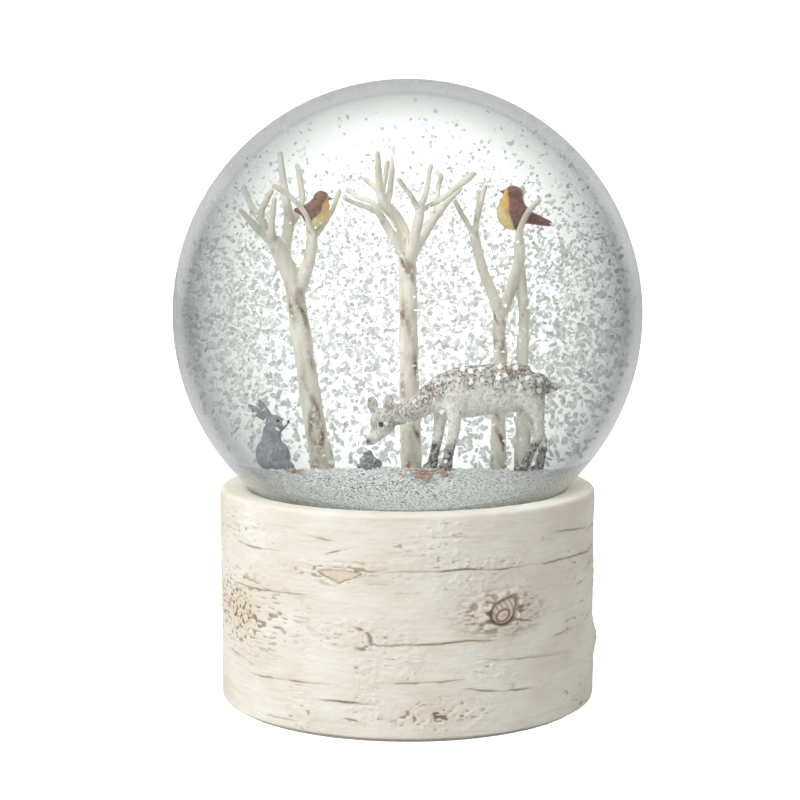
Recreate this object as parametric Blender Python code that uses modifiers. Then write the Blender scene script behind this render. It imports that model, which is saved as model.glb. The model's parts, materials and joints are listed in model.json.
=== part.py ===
"""A snow globe on a birch-bark base, built as its separate pieces.

Lengths below are in millimetres and are turned into metres as the meshes are made. +Z is up, the origin is the
middle of the base's underside, and the front faces -Y.
"""

import math
import random

import bmesh
import bpy
from mathutils import Matrix, Vector

MM = 0.001
GAP = 0.3

# The glass ball and its neck
GLOBE_RADIUS = 50.0
GLOBE_CENTRE_Z = 82.7
GLASS_WALL = 2.3
NECK_RADIUS = 32.0
NECK_BORE = 29.5
NECK_END_Z = 35.0

# The hollow base
BASE_RADIUS = 40.3
BASE_TOP_Z = 46.2
BASE_BOTTOM_Z = 0.9
KEY_RECESS_RADIUS = 36.0
CHAMBER_RADIUS = 31.6
CHAMBER_FLOOR_Z = 11.0
LEDGE_Z = 31.1
SEAT_Z = (31.4, 32.9)
SEAT_HOLE = 20.0
NECK_RECESS = 33.2
COVER_RADIUS = 35.7
COVER_Z = (9.0, 10.7)
COVER_SCREW_CIRCLE = 34.2
COVER_SCREW_ANGLES = (90, 210, 330)

# The moulded ground that carries the figures
GROUND_RADIUS = 28.8
GROUND_FOOT_Z = 45.3
GROUND_PEAK_Z = 58.6
BANK_FOOT_Z = 47.2

# The musical movement: the key's axis is vertical, the cylinder's axis runs along X
KEY_X = -12.0
CYLINDER_Z = 25.0
CYLINDER_RADIUS = 5.0
CYLINDER_X = (-1.2, 17.0)
CROWN_TEETH, CROWN_PITCH_RADIUS = 36, 8.5
DRIVEN_TEETH = 12
DRIVEN_PITCH_RADIUS = CROWN_PITCH_RADIUS * DRIVEN_TEETH / CROWN_TEETH
CYLINDER_WHEEL_TEETH, GOVERNOR_PINION_TEETH = 30, 10
TRAIN_MODULE = 0.36
GOVERNOR_Y = TRAIN_MODULE * (CYLINDER_WHEEL_TEETH + GOVERNOR_PINION_TEETH) / 2
WORM_WHEEL_TEETH, WORM_WHEEL_MODULE = 18, 0.4
WORM_WHEEL_X = 22.1
FAN_Y = 12.2
PLATE_Z = (11.2, 12.8)
ARBOR_BORE = 1.0
MOVEMENT_SCREWS = ((20.0, -15.0), (8.0, 13.5), (-19.0, -13.0))
COMB_SCREWS = ((3.0, -15.0), (13.0, -15.0))
COMB_Z = (24.7, 25.3)
COMB_TEETH = 18

ROUND_STEPS = 40
SLOT_DEPTH = 0.4


# ---------------------------------------------------------------- scene and materials

for thing in list(bpy.data.objects):
    bpy.data.objects.remove(thing, do_unlink=True)

PARTS = bpy.data.collections.new("snow_globe")
HELPERS = bpy.data.collections.new("cutters")
bpy.context.scene.collection.children.link(PARTS)
bpy.context.scene.collection.children.link(HELPERS)


def make_material(name, colour, roughness, metallic=0.0, transmission=0.0):
    made = bpy.data.materials.new(name)
    made.use_nodes = True
    made.diffuse_color = (*colour, 1.0)
    shader = made.node_tree.nodes["Principled BSDF"]
    shader.inputs["Base Color"].default_value = (*colour, 1.0)
    shader.inputs["Roughness"].default_value = roughness
    shader.inputs["Metallic"].default_value = metallic
    shader.inputs["Transmission Weight"].default_value = transmission
    return made


def place(obj, material):
    """Puts a finished piece in the object's own collection, shaded smooth but for its sharp edges."""
    PARTS.objects.link(obj)
    obj.data.materials.append(material)
    if obj.type == "MESH":
        obj.data.shade_smooth()
        obj.data.set_sharp_from_angle(angle=math.radians(35))
    return obj


def helper(obj):
    HELPERS.objects.link(obj)
    obj.hide_render = True
    obj.display_type = "WIRE"
    return obj


# ---------------------------------------------------------------- shapes

def mesh_object(name, build):
    """A new object whose mesh is filled by build(bm), in millimetres."""
    bm = bmesh.new()
    build(bm)
    bmesh.ops.scale(bm, vec=(MM, MM, MM), verts=bm.verts)
    mesh = bpy.data.meshes.new(name)
    bm.to_mesh(mesh)
    bm.free()
    return bpy.data.objects.new(name, mesh)


def block(name, low, high):
    size = Vector(high) - Vector(low)
    middle = (Vector(high) + Vector(low)) / 2
    matrix = Matrix.Translation(middle) @ Matrix.Diagonal((*size, 1.0))
    return mesh_object(name, lambda bm: bmesh.ops.create_cube(bm, size=1.0, matrix=matrix))


def rod(name, radius, start, end, sides=20, end_radius=None):
    """A round bar from start to end."""
    run = Vector(end) - Vector(start)
    turn = Vector((0, 0, 1)).rotation_difference(run).to_matrix().to_4x4()
    matrix = Matrix.Translation((Vector(start) + Vector(end)) / 2) @ turn
    far = radius if end_radius is None else end_radius
    return mesh_object(
        name,
        lambda bm: bmesh.ops.create_cone(
            bm, cap_ends=True, segments=sides, radius1=radius, radius2=far, depth=run.length, matrix=matrix
        ),
    )


def turned(name, profile, closed=False, steps=ROUND_STEPS, axis_x=0.0):
    """A profile of (radius, z), running down its outer side, turned about a vertical axis."""

    def build(bm):
        points = [bm.verts.new((radius, 0, z)) for radius, z in profile]
        for here, there in zip(points, points[1:]):
            bm.edges.new((here, there))
        if closed:
            bm.edges.new((points[-1], points[0]))

    obj = mesh_object(name, build)
    obj.location.x = axis_x * MM
    screw = obj.modifiers.new("turn", "SCREW")
    screw.steps = screw.render_steps = steps
    screw.use_merge_vertices = True
    screw.merge_threshold = 0.00001
    screw.use_smooth_shade = True
    return obj


def arc(radius, centre_z, start, end, count):
    """Points (r, z) on a circle about (0, centre_z); angles are in degrees down from straight up."""
    angles = [math.radians(start + (end - start) * i / count) for i in range(count + 1)]
    return [(radius * math.sin(a), centre_z + radius * math.cos(a)) for a in angles]


def combine(obj, operation, others):
    for other in others:
        change = obj.modifiers.new(other.name, "BOOLEAN")
        change.operation = operation
        change.solver = "EXACT"
        change.object = helper(other)
    return obj


def joined(name, pieces):
    """Several loose meshes as one helper mesh, for one Boolean."""
    bm = bmesh.new()
    for piece in pieces:
        bm.from_mesh(piece.data)
        bpy.data.objects.remove(piece)
    mesh = bpy.data.meshes.new(name)
    bm.to_mesh(mesh)
    bm.free()
    return bpy.data.objects.new(name, mesh)


def outline_curve(name, outlines, thickness):
    """A flat plate from closed outlines in its own XY plane; outlines after the first are holes."""
    curve = bpy.data.curves.new(name, "CURVE")
    curve.dimensions = "2D"
    curve.fill_mode = "BOTH"
    curve.extrude = thickness * MM / 2
    for outline in outlines:
        spline = curve.splines.new("POLY")
        spline.points.add(len(outline) - 1)
        for point, (x, y) in zip(spline.points, outline):
            point.co = (x * MM, y * MM, 0, 1)
        spline.use_cyclic_u = True
    return bpy.data.objects.new(name, curve)


def circle(radius, count=20, centre=(0.0, 0.0)):
    turns = [2 * math.pi * i / count for i in range(count)]
    return [(centre[0] + radius * math.cos(a), centre[1] + radius * math.sin(a)) for a in turns]


def gear_outline(teeth, pitch_radius, addendum, dedendum, thickness, first_tooth):
    """Straight-flanked teeth, thinner than half a pitch so that a pair runs free. first_tooth is in degrees."""
    points = []
    tip_half = 0.25 * thickness / pitch_radius
    root_half = 0.75 * thickness / pitch_radius
    for tooth in range(teeth):
        middle = math.radians(first_tooth) + 2 * math.pi * tooth / teeth
        for radius, offset in (
            (pitch_radius - dedendum, -root_half),
            (pitch_radius + addendum, -tip_half),
            (pitch_radius + addendum, tip_half),
            (pitch_radius - dedendum, root_half),
        ):
            points.append((radius * math.cos(middle + offset), radius * math.sin(middle + offset)))
    return points


def facing_x(obj, x, y, z):
    """Stands a flat plate across the X axis: its own X lies along +Y and its own Y along +Z."""
    axes = Matrix(((0, 0, 1), (1, 0, 0), (0, 1, 0))).to_4x4()
    obj.matrix_world = Matrix.Translation((x * MM, y * MM, z * MM)) @ axes
    return obj


def tube(name, route, sides_step, squeeze=1.0, middle_y=0.0):
    """A round bar of changing thickness along a route of (x, y, z, radius), as a closed mesh."""
    curve = bpy.data.curves.new(name, "CURVE")
    curve.dimensions = "3D"
    curve.bevel_depth = MM
    curve.bevel_resolution = sides_step
    curve.use_fill_caps = True
    spline = curve.splines.new("POLY")
    spline.points.add(len(route) - 1)
    for point, (x, y, z, radius) in zip(spline.points, route):
        point.co = (x * MM, y * MM, z * MM, 1)
        point.radius = radius
    guide = bpy.data.objects.new(name + "_route", curve)
    HELPERS.objects.link(guide)
    graph = bpy.context.evaluated_depsgraph_get()
    mesh = bpy.data.meshes.new_from_object(guide.evaluated_get(graph))
    bpy.data.objects.remove(guide)
    bm = bmesh.new()
    bm.from_mesh(mesh)
    bmesh.ops.remove_doubles(bm, verts=bm.verts, dist=0.000001)
    bmesh.ops.recalc_face_normals(bm, faces=bm.faces)
    for vertex in bm.verts:
        vertex.co.y = middle_y * MM + (vertex.co.y - middle_y * MM) * squeeze
    bm.to_mesh(mesh)
    bm.free()
    return bpy.data.objects.new(name, mesh)


def rounded_ends(route, first=True, last=True):
    """The route with a short domed cap beyond its first and last points."""
    route = list(route)
    for wanted, end, before in ((last, -1, -2), (first, 0, 1)):
        if not wanted:
            continue
        tip, inner = Vector(route[end][:3]), Vector(route[before][:3])
        radius = route[end][3]
        outward = (tip - inner).normalized()
        caps = [(*(tip + outward * radius * 0.6), radius * 0.75), (*(tip + outward * radius * 0.95), radius * 0.25)]
        route = route + caps if end == -1 else caps[::-1] + route
    return route


def branching(name, routes, sides_step=1, squeeze=1.0, middle_y=0.0, domed_start=True):
    """A body of several tubes grown together; the first one is the main stem."""
    tubes = [
        tube(f"{name}_limb_{i}", rounded_ends(route, first=domed_start and i == 0), sides_step, squeeze, middle_y)
        for i, route in enumerate(routes)
    ]
    tubes[0].name = name
    return combine(tubes[0], "UNION", tubes[1:])


def ground_z(x, y):
    """The height of the snow at a point: nearly level, lower to each side, with a slope down to the front."""
    level_fall = 0.06 * max(0.0, 6.0 - y) + 0.002 * x * x
    past_edge = max(0.0, -10.0 - y)
    return GROUND_PEAK_Z - level_fall - 0.5 * (math.hypot(past_edge, 3.0) - 3.0)


def lump(name, centre, half_sizes, roughness, seed, lean=0.0):
    """A rough pebble: an icosphere with its points moved in and out. lean tips it forward, in degrees."""
    chance = random.Random(seed)

    def build(bm):
        bmesh.ops.create_icosphere(bm, subdivisions=2, radius=1.0)
        for vertex in bm.verts:
            vertex.co *= 1 + chance.uniform(-roughness, roughness)
        bmesh.ops.scale(bm, vec=half_sizes, verts=bm.verts)

    obj = mesh_object(name, build)
    obj.location = Vector(centre) * MM
    obj.rotation_euler.x = math.radians(lean)
    return obj


def screw(name, x, y, head_z, shank_end_z, head_radius=1.6, shank_radius=0.8):
    """A slotted pan-head screw. head_z is (underside, face) of its head, and the slot is cut into its face."""
    underside, face = head_z
    outward = 1 if face > underside else -1
    shank = rod(name, shank_radius, (x, y, shank_end_z), (x, y, underside + 0.2 * outward), 12)
    head = rod(name + "_head", head_radius, (x, y, underside), (x, y, face), 16, head_radius * 0.85)
    slot_ends = sorted((face - SLOT_DEPTH * outward, face + SLOT_DEPTH * outward))
    reach, half_width = head_radius + 1, 0.2
    slot = block(
        name + "_slot", (x - reach, y - half_width, slot_ends[0]), (x + reach, y + half_width, slot_ends[1])
    )
    combine(shank, "UNION", [head])
    return combine(shank, "DIFFERENCE", [slot])


# ---------------------------------------------------------------- the globe

def neck_start(radius, at):
    """Angle down from the top, in degrees, where a sphere of this radius meets a cylinder of radius at."""
    return 180 - math.degrees(math.asin(at / radius))


def glass_globe():
    inner = GLOBE_RADIUS - GLASS_WALL
    outside = arc(GLOBE_RADIUS, GLOBE_CENTRE_Z, 0, neck_start(GLOBE_RADIUS, NECK_RADIUS), 11)
    inside = arc(inner, GLOBE_CENTRE_Z, neck_start(inner, NECK_BORE), 0, 8)
    rim = [(NECK_RADIUS, NECK_END_Z), (NECK_BORE, NECK_END_Z)]
    return turned("glass_globe", outside + rim + inside)


def globe_plug():
    """The rubber stopper: a flange under the neck, and lips that press on the neck's bore."""
    bore = NECK_BORE - GAP
    flange, seat = NECK_END_Z - GAP, SEAT_Z[1] + GAP
    return turned(
        "globe_plug",
        [
            (0, GROUND_FOOT_Z - GAP), (bore - 1.0, GROUND_FOOT_Z - GAP), (bore, 43.6), (bore - 0.8, 42.4), (bore, 40.6),
            (bore - 0.8, 39.4), (bore, 37.6), (bore - 0.8, flange), (NECK_RADIUS, flange), (NECK_RADIUS, seat),
            (12.0, seat), (10.0, 37.0), (0, 37.0),
        ],
        steps=32,
    )


def seal_ring():
    """The cured adhesive between the neck and the base."""
    inner, outer = NECK_RADIUS + 0.25, NECK_RECESS - 0.25
    return turned("seal_ring", [(inner, 43.4), (outer, 43.6), (outer, 36.0), (inner, 36.0)], closed=True, steps=32)


def rings_solid(name, rings):
    """A solid from closed rings of points, each joined to the next and the last to the first."""

    def build(bm):
        made = [[bm.verts.new(point) for point in ring] for ring in rings]
        for ring, following in zip(made, made[1:] + made[:1]):
            for i in range(len(ring)):
                j = (i + 1) % len(ring)
                bm.faces.new((ring[i], ring[j], following[j], following[i]))
        bmesh.ops.recalc_face_normals(bm, faces=bm.faces)

    return mesh_object(name, build)


def snow_ground():
    """The mound: a round disc whose top follows ground_z."""
    steps, rows = 32, 9

    def build(bm):
        foot = [bm.verts.new((x, y, GROUND_FOOT_Z)) for x, y in circle(GROUND_RADIUS, steps)]
        bm.faces.new(foot)
        below = foot
        for row in range(rows, 0, -1):
            spots = circle(GROUND_RADIUS * row / rows, steps)
            ring = [bm.verts.new((x, y, ground_z(x, y))) for x, y in spots]
            for i in range(steps):
                j = (i + 1) % steps
                bm.faces.new((below[i], below[j], ring[j], ring[i]))
            below = ring
        peak = bm.verts.new((0, 0, ground_z(0, 0)))
        for i in range(steps):
            bm.faces.new((below[i], below[(i + 1) % steps], peak))
        bmesh.ops.recalc_face_normals(bm, faces=bm.faces)

    return mesh_object("snow_ground", build)


def settled_snow():
    """Loose flakes lying round the ground, against the glass, as one bank as high as the ground beside it."""
    steps, rows = 32, 5
    glass = GLOBE_RADIUS - GLASS_WALL - 4 * GAP
    inner = GROUND_RADIUS + GAP

    def wall_radius(z):
        return math.sqrt(glass**2 - (z - GLOBE_CENTRE_Z) ** 2)

    def top_at(direction_x, direction_y):
        z = BANK_FOOT_Z
        for _ in range(40):
            radius = wall_radius(z)
            z = (z + ground_z(radius * direction_x, radius * direction_y)) / 2
        return z

    directions = circle(1.0, steps)
    tops = [top_at(x, y) for x, y in directions]
    rings = [[(x * inner, y * inner, BANK_FOOT_Z) for x, y in directions]]
    rings.append([(x * inner, y * inner, ground_z(x * inner, y * inner)) for x, y in directions])
    for row in range(rows, -1, -1):
        heights = [BANK_FOOT_Z + (top - BANK_FOOT_Z) * row / rows for top in tops]
        rings.append([(x * wall_radius(z), y * wall_radius(z), z) for (x, y), z in zip(directions, heights)])
    return rings_solid("settled_snow", rings)


# Each route is a limb of (x, y, z, radius) measured from the tree's foot.
LEFT_TREE = (
    [(0, 0, 0, 1.7), (-1.0, 0, 6, 1.6), (-1.8, 0, 12, 1.5), (-3.1, 0, 20, 1.4), (-4.3, 0, 29, 1.3)],
    [(-4.3, 0, 29, 1.3), (-6.2, -1, 34, 1.0), (-8.0, -1, 37.5, 0.9)],
    [(-8.0, -1, 37.5, 0.9), (-13.0, -3.5, 42.5, 0.55), (-15.0, -4.5, 44.4, 0.35)],
    [(-8.0, -1, 37.5, 0.9), (-10.6, 1.5, 42, 0.55), (-12.6, 3, 46.5, 0.35)],
    [(-8.0, -1, 37.5, 0.9), (-8.6, -4, 41.5, 0.45), (-8.8, -5, 45.5, 0.3)],
    [(-6.2, -1, 34, 1.0), (-5.3, 1, 39.5, 0.75), (-6.0, 2.5, 45.5, 0.6), (-6.7, 4, 51.6, 0.35)],
    [(-5.3, 1, 39.5, 0.75), (-3.2, 3.6, 43, 0.5), (-3.6, 6, 49, 0.35)],
    [(-4.3, 0, 29, 1.3), (-2.4, -2, 34.5, 0.9), (-2.0, -3, 39.0, 0.85)],
    [(-2.0, -3, 39.0, 0.85), (1.8, -0.6, 43, 0.4), (2.9, 1.4, 46, 0.3)],
    [(-2.0, -3, 39.0, 0.85), (-4.2, -6.6, 43.8, 0.35), (-9.0, -6.0, 48, 0.25)],
)
CENTRE_TREE = (
    [(0, 0, 0, 1.5), (-0.3, 0, 9, 1.4), (-0.5, 0, 22, 1.3), (-0.7, 0, 34.6, 1.2)],
    [(-0.7, 0, 34.6, 1.2), (-3.2, -1.5, 39, 0.7), (-5.2, -2, 42.6, 0.65), (-11.0, -5, 45.6, 0.35)],
    [(-5.2, -2, 42.6, 0.65), (-8.6, 1.0, 44.4, 0.45), (-10.2, 2.0, 46, 0.3)],
    [(-0.7, 0, 34.6, 1.2), (-2.2, 2.2, 40.4, 0.85), (-4.9, 1.6, 44, 0.8), (-5.3, 0.4, 47.5, 0.6), (-5.6, -2, 53, 0.35)],
    [(-5.3, 0.4, 47.5, 0.6), (-7.2, 3.4, 47.6, 0.3)],
    [(-4.9, 1.6, 44, 0.8), (-3.2, 4.6, 46.5, 0.5), (-3.1, 6, 50.5, 0.35)],
    [(-0.7, 0, 34.6, 1.2), (1.2, -3.0, 41, 0.75), (1.6, -3.6, 44.4, 0.7)],
    [(1.6, -3.6, 44.4, 0.7), (-0.8, -5.6, 47, 0.45), (-2.3, -6.5, 49, 0.3)],
    [(1.6, -3.6, 44.4, 0.7), (2.9, -1.2, 47.4, 0.45), (3.3, -1, 50.6, 0.3)],
    [(1.6, -3.6, 44.4, 0.7), (5.4, -4.2, 45.4, 0.4), (10.6, -6, 49.8, 0.5)],
    [(-0.7, 0, 34.6, 1.2), (3.2, 3.2, 40, 0.75), (5.2, 4.6, 43.2, 0.6), (8.4, 7, 45.6, 0.35)],
    [(5.2, 4.6, 43.2, 0.6), (4.2, 7.6, 46.4, 0.3)],
)
RIGHT_TREE = (
    [(0, 0, 0, 1.2), (0.3, 0, 12, 1.0), (0.4, 0, 26, 0.95)],
    [(0.4, 0, 26, 0.95), (-2.5, -1, 33, 0.7), (-3.7, -1, 38.4, 0.6)],
    [(-3.7, -1, 38.4, 0.6), (-6.5, -3, 44.2, 0.3)],
    [(-3.7, -1, 38.4, 0.6), (-3.0, 1.8, 42, 0.4), (-3.0, 2.4, 45.2, 0.3)],
    [(0.4, 0, 26, 0.95), (3.2, 0, 33.6, 0.8), (3.0, -1.2, 38.0, 0.8)],
    [(3.0, -1.2, 38.0, 0.8), (4.8, -1.0, 41.6, 0.4), (6.4, -0.4, 43.8, 0.3)],
    [(3.2, 0, 33.6, 0.8), (3.6, 6.6, 40.4, 0.4), (3.3, 7.2, 45, 0.3)],
)


def tree(name, datum, limbs):
    """A tree whose limbs are measured from datum. Its stem starts just above the ground."""
    routes = [[(*(Vector(point[:3]) + Vector(datum)), point[3]) for point in limb] for limb in limbs]
    foot_x, foot_y, _, radius = routes[0][0]
    routes[0][0] = (foot_x, foot_y, ground_z(foot_x, foot_y) + 2 * GAP, radius)
    return branching(name, routes, domed_start=False)


def robin(name, breast, facing, lean, size):
    """A perched bird from tail to beak. facing is 1 or -1 along X; lean raises its head."""
    bx, by, bz = breast
    head = 2.4 + lean / 2
    spine = [(-4.3, -1.0 - lean, 0.35), (-2.2, -0.5, 0.8), (-0.6, 0.0, 1.7), (0.4, 0.6, 1.8), (0.9, head, 1.2),
             (2.3, head + 0.2, 0.2)]
    route = [(bx + facing * along * size, by, bz + up * size, radius * size) for along, up, radius in spine]
    return branching(name, [route], 2)


def fawn():
    """A grazing fawn, facing -X, its head down."""
    y = -9.0
    body = [(24.4, y, 71.6, 0.5), (22.0, y, 71.4, 1.9), (19.4, y, 70.9, 3.9), (14.0, y, 71.2, 4.3), (9.0, y, 70.8, 4.2),
            (5.4, y, 69.8, 3.0), (1.8, y, 67.9, 1.9), (-1.8, y, 66.9, 1.6), (-4.4, y, 65.2, 1.7), (-6.5, y, 62.6, 0.9)]
    front, rear = (9.0, y, 70.8, 4.2), (19.4, y, 70.9, 3.9)
    near, far = y - 2.4, y + 2.4
    legs = [
        [front, (8.0, near, 65.6, 1.2), (7.2, near, 61, 0.7), (6.9, near, ground_z(6.9, near) + 0.9, 0.75)],
        [front, (6.0, far, 65.6, 1.2), (5.0, far, 61, 0.7), (4.4, far, ground_z(4.4, far) + 0.9, 0.75)],
        [rear, (21.6, near, 66.4, 1.5), (23.0, near, 62, 0.7), (20.6, near, ground_z(20.6, near) + 0.9, 0.75)],
        [rear, (20.4, far, 66.4, 1.5), (22.6, far, 62, 0.7), (22.0, far, ground_z(22.0, far) + 0.9, 0.75)],
    ]
    ears = [
        [(-1.8, y, 66.9, 1.6), (-3.0, y + side, 69.0, 0.6), (-3.6, y + side * 1.3, 70.2, 0.35)]
        for side in (-1.5, 1.5)
    ]
    return branching("fawn", [body] + legs + ears, 2, squeeze=0.75, middle_y=y)


def rabbit():
    y = -7.0
    low = ground_z(-23, y) + 3.0
    body = [(-22.9, y, low, 3.1), (-22.9, y, low + 2.6, 2.2), (-23.0, y, low + 5, 1.5), (-22.6, y, low + 6.7, 1.6),
            (-20.7, y, low + 6.9, 0.9)]
    ears = [
        [(-22.8, y + side * 0.6, low + 6.9, 0.7), (-24.4, y + side, low + 8.5, 0.75),
         (-25.8, y + side * 1.3, low + 9.8, 0.4)]
        for side in (-0.9, 0.9)
    ]
    return branching("rabbit", [body] + ears, 2)


# ---------------------------------------------------------------- the base

def birch_base():
    shell = turned(
        "birch_base",
        [
            (34.6, BASE_TOP_Z), (39.3, BASE_TOP_Z), (40.0, BASE_TOP_Z - 0.35), (BASE_RADIUS, BASE_TOP_Z - 1.1),
            (BASE_RADIUS, 23.0), (BASE_RADIUS, 1.9), (39.6, BASE_BOTTOM_Z), (KEY_RECESS_RADIUS, BASE_BOTTOM_Z),
            (KEY_RECESS_RADIUS, CHAMBER_FLOOR_Z), (CHAMBER_RADIUS, CHAMBER_FLOOR_Z), (CHAMBER_RADIUS, LEDGE_Z),
            (NECK_RECESS, LEDGE_Z), (NECK_RECESS, 44.4),
        ],
        closed=True,
    )
    holes = [
        rod("screw_hole", 1.1, (x, y, CHAMBER_FLOOR_Z - 0.5), (x, y, 19.0), 12) for x, y in cover_screw_places()
    ]
    return combine(shell, "DIFFERENCE", [joined("base_holes", holes)])


def neck_seat():
    """The disc that the neck stands on; its edge rests on the base's ledge."""
    low, high = SEAT_Z
    outer = NECK_RECESS - GAP
    return turned("neck_seat", [(SEAT_HOLE, high), (outer, high), (outer, low), (SEAT_HOLE, low)], closed=True)


def cover_screw_places():
    turns = [math.radians(angle) for angle in COVER_SCREW_ANGLES]
    return [(COVER_SCREW_CIRCLE * math.cos(a), COVER_SCREW_CIRCLE * math.sin(a)) for a in turns]


def base_cover():
    low, high = COVER_Z
    cover = turned("base_cover", [(0, high), (COVER_RADIUS, high), (COVER_RADIUS, low), (0, low)])
    places = [(x, y, 1.2) for x, y in MOVEMENT_SCREWS] + [(x, y, 1.1) for x, y in cover_screw_places()]
    places.append((KEY_X, 0.0, 3.0))
    holes = [rod("hole", radius, (x, y, low - 1), (x, y, high + 1), 16) for x, y, radius in places]
    return combine(cover, "DIFFERENCE", [joined("cover_holes", holes)])


def felt_ring():
    return turned("felt_ring", [(36.4, 0.6), (38.4, 0.6), (38.4, 0), (36.4, 0)], closed=True, steps=32)


# ---------------------------------------------------------------- the musical movement

def movement_plate():
    """The cast bedplate, with the two ears that carry the cylinder."""
    low, high = PLATE_Z
    plate = block("movement_plate", (-22.2, -18.5, low), (24.6, 16.8, high))
    ears = [
        block("inner_ear", (-2.3, -3.0, high - 0.5), (-1.5, 3.0, 27.4)),
        block("outer_ear", (19.9, -3.4, high - 0.5), (20.9, 3.4, 27.4)),
    ]
    combine(plate, "UNION", ears)
    holes = [rod("hole", 1.1, (x, y, low - 1), (x, y, high + 1), 12) for x, y in MOVEMENT_SCREWS]
    holes.append(rod("hole", 2.0, (KEY_X, 0, low - 1), (KEY_X, 0, high + 1), 16))
    holes.append(rod("hole", ARBOR_BORE, (-3.0, 0, CYLINDER_Z), (22.0, 0, CYLINDER_Z), 12))
    return combine(plate, "DIFFERENCE", [joined("plate_holes", holes)])


def spring_barrel():
    profile = [(2.0, 20.3), (9.3, 20.3), (9.3, 13.1), (2.0, 13.1), (2.0, 13.9), (8.5, 13.9), (8.5, 19.5), (2.0, 19.5)]
    return turned("spring_barrel", profile, closed=True, steps=32, axis_x=KEY_X)


def mainspring():
    """A spiral strip, half wound, standing on edge inside the barrel."""
    turns, per_turn = 4, 14
    inner, outer = 2.4, 8.0
    count = turns * per_turn

    def build(bm):
        rows = []
        for z in (14.3, 19.1):
            row = []
            for i in range(count + 1):
                radius = inner + (outer - inner) * i / count
                angle = 2 * math.pi * i / per_turn
                row.append(bm.verts.new((KEY_X + radius * math.cos(angle), radius * math.sin(angle), z)))
            rows.append(row)
        for i in range(count):
            bm.faces.new((rows[0][i], rows[0][i + 1], rows[1][i + 1], rows[1][i]))

    strip = mesh_object("mainspring", build)
    solid = strip.modifiers.new("thickness", "SOLIDIFY")
    solid.thickness = 0.35 * MM
    solid.offset = 0
    return strip


def winding_arbor():
    return rod("winding_arbor", 1.5, (KEY_X, 0, 3.2), (KEY_X, 0, 23.4), 16)


def great_wheel():
    """The crown wheel on the winding arbor; a gap between its teeth faces the cylinder's pinion."""
    low, root, tip = 20.7, 21.7, 22.5
    outer, inner = CROWN_PITCH_RADIUS + 0.9, CROWN_PITCH_RADIUS - 1.1
    wheel = turned(
        "great_wheel", [(1.8, root), (outer, root), (outer, low), (1.8, low)], closed=True, steps=36, axis_x=KEY_X
    )
    teeth = []
    for i in range(CROWN_TEETH):
        tooth = block("crown_tooth", (inner, -0.3, root - 0.3), (outer - 0.05, 0.3, tip))
        turn = Matrix.Rotation(math.radians((i + 0.5) * 360 / CROWN_TEETH), 4, "Z")
        tooth.data.transform(turn)
        teeth.append(tooth)
    crown = joined("crown_teeth", teeth)
    crown.location.x = KEY_X * MM
    return combine(wheel, "UNION", [crown])


def winding_key():
    """A two-lobed turn key on a short sleeve; the arbor's end sits in the sleeve."""
    sleeve = rod("winding_key", 2.6, (KEY_X, 0, 1.3), (KEY_X, 0, 8.4), 20)
    lobes = [rod("lobe", 3.3, (KEY_X + side, -0.7, 4.7), (KEY_X + side, 0.7, 4.7), 20) for side in (-6.4, 6.4)]
    bar = block("bar", (KEY_X - 7.0, -0.6, 3.2), (KEY_X + 7.0, 0.6, 6.2))
    combine(sleeve, "UNION", [bar] + lobes)
    bores = [rod("eye", 1.5, (KEY_X + side, -2, 4.7), (KEY_X + side, 2, 4.7), 16) for side in (-6.4, 6.4)]
    bores.append(rod("socket", 1.8, (KEY_X, 0, 2.9), (KEY_X, 0, 9.0), 16))
    return combine(sleeve, "DIFFERENCE", [joined("key_bores", bores)])


def pin_cylinder():
    """The tune cylinder, its pins set one tooth pitch apart in seeded places."""
    start, end = CYLINDER_X
    chance = random.Random(18)
    drum = rod("pin_cylinder", CYLINDER_RADIUS, (start, 0, CYLINDER_Z), (end, 0, CYLINDER_Z), 24)
    pins = []
    for i in range(COMB_TEETH):
        for tenth in chance.sample(range(36), 2):
            angle = math.radians(10 * tenth + 5)
            away = Vector((0, math.cos(angle), math.sin(angle)))
            x = comb_tooth_x(i)
            foot = Vector((x, 0, CYLINDER_Z)) + away * (CYLINDER_RADIUS - 0.4)
            pins.append(rod("pin", 0.18, foot, foot + away * 0.75, 6))
    combine(drum, "UNION", [joined("pins", pins)])
    bore = rod("cylinder_bore", ARBOR_BORE, (start - 1, 0, CYLINDER_Z), (end + 1, 0, CYLINDER_Z), 16)
    return combine(drum, "DIFFERENCE", [bore])


def comb_tooth_x(i):
    start, end = CYLINDER_X
    return start + (end - start) * (i + 0.5) / COMB_TEETH


def tune_comb():
    """The steel comb: slots run in from the tips, and the heel is screwed down."""
    tips, roots, heel = -5.8, -12.0, -17.6
    start, end = CYLINDER_X
    pitch = (end - start) / COMB_TEETH
    outline = [(end, heel), (start, heel)]
    for i in range(COMB_TEETH):
        left, right = comb_tooth_x(i) - pitch * 0.35, comb_tooth_x(i) + pitch * 0.35
        outline += [(left, roots - 0.02 * i), (left, tips), (right, tips), (right, roots - 0.02 * i)]
    outline[2] = (start, roots)
    outline.insert(3, (comb_tooth_x(0) - pitch * 0.35, roots))
    outline.append((end, roots))
    holes = [circle(1.1, 14, centre) for centre in COMB_SCREWS]
    comb = outline_curve("tune_comb", [outline] + holes, COMB_Z[1] - COMB_Z[0])
    comb.location.z = sum(COMB_Z) / 2 * MM
    return comb


def comb_bracket():
    bracket = block("comb_bracket", (CYLINDER_X[0], -17.6, PLATE_Z[1] + GAP), (CYLINDER_X[1], -12.4, COMB_Z[0] - GAP))
    holes = [rod("hole", 1.1, (x, y, 16), (x, y, 26), 12) for x, y in COMB_SCREWS]
    return combine(bracket, "DIFFERENCE", [joined("bracket_holes", holes)])


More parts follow.
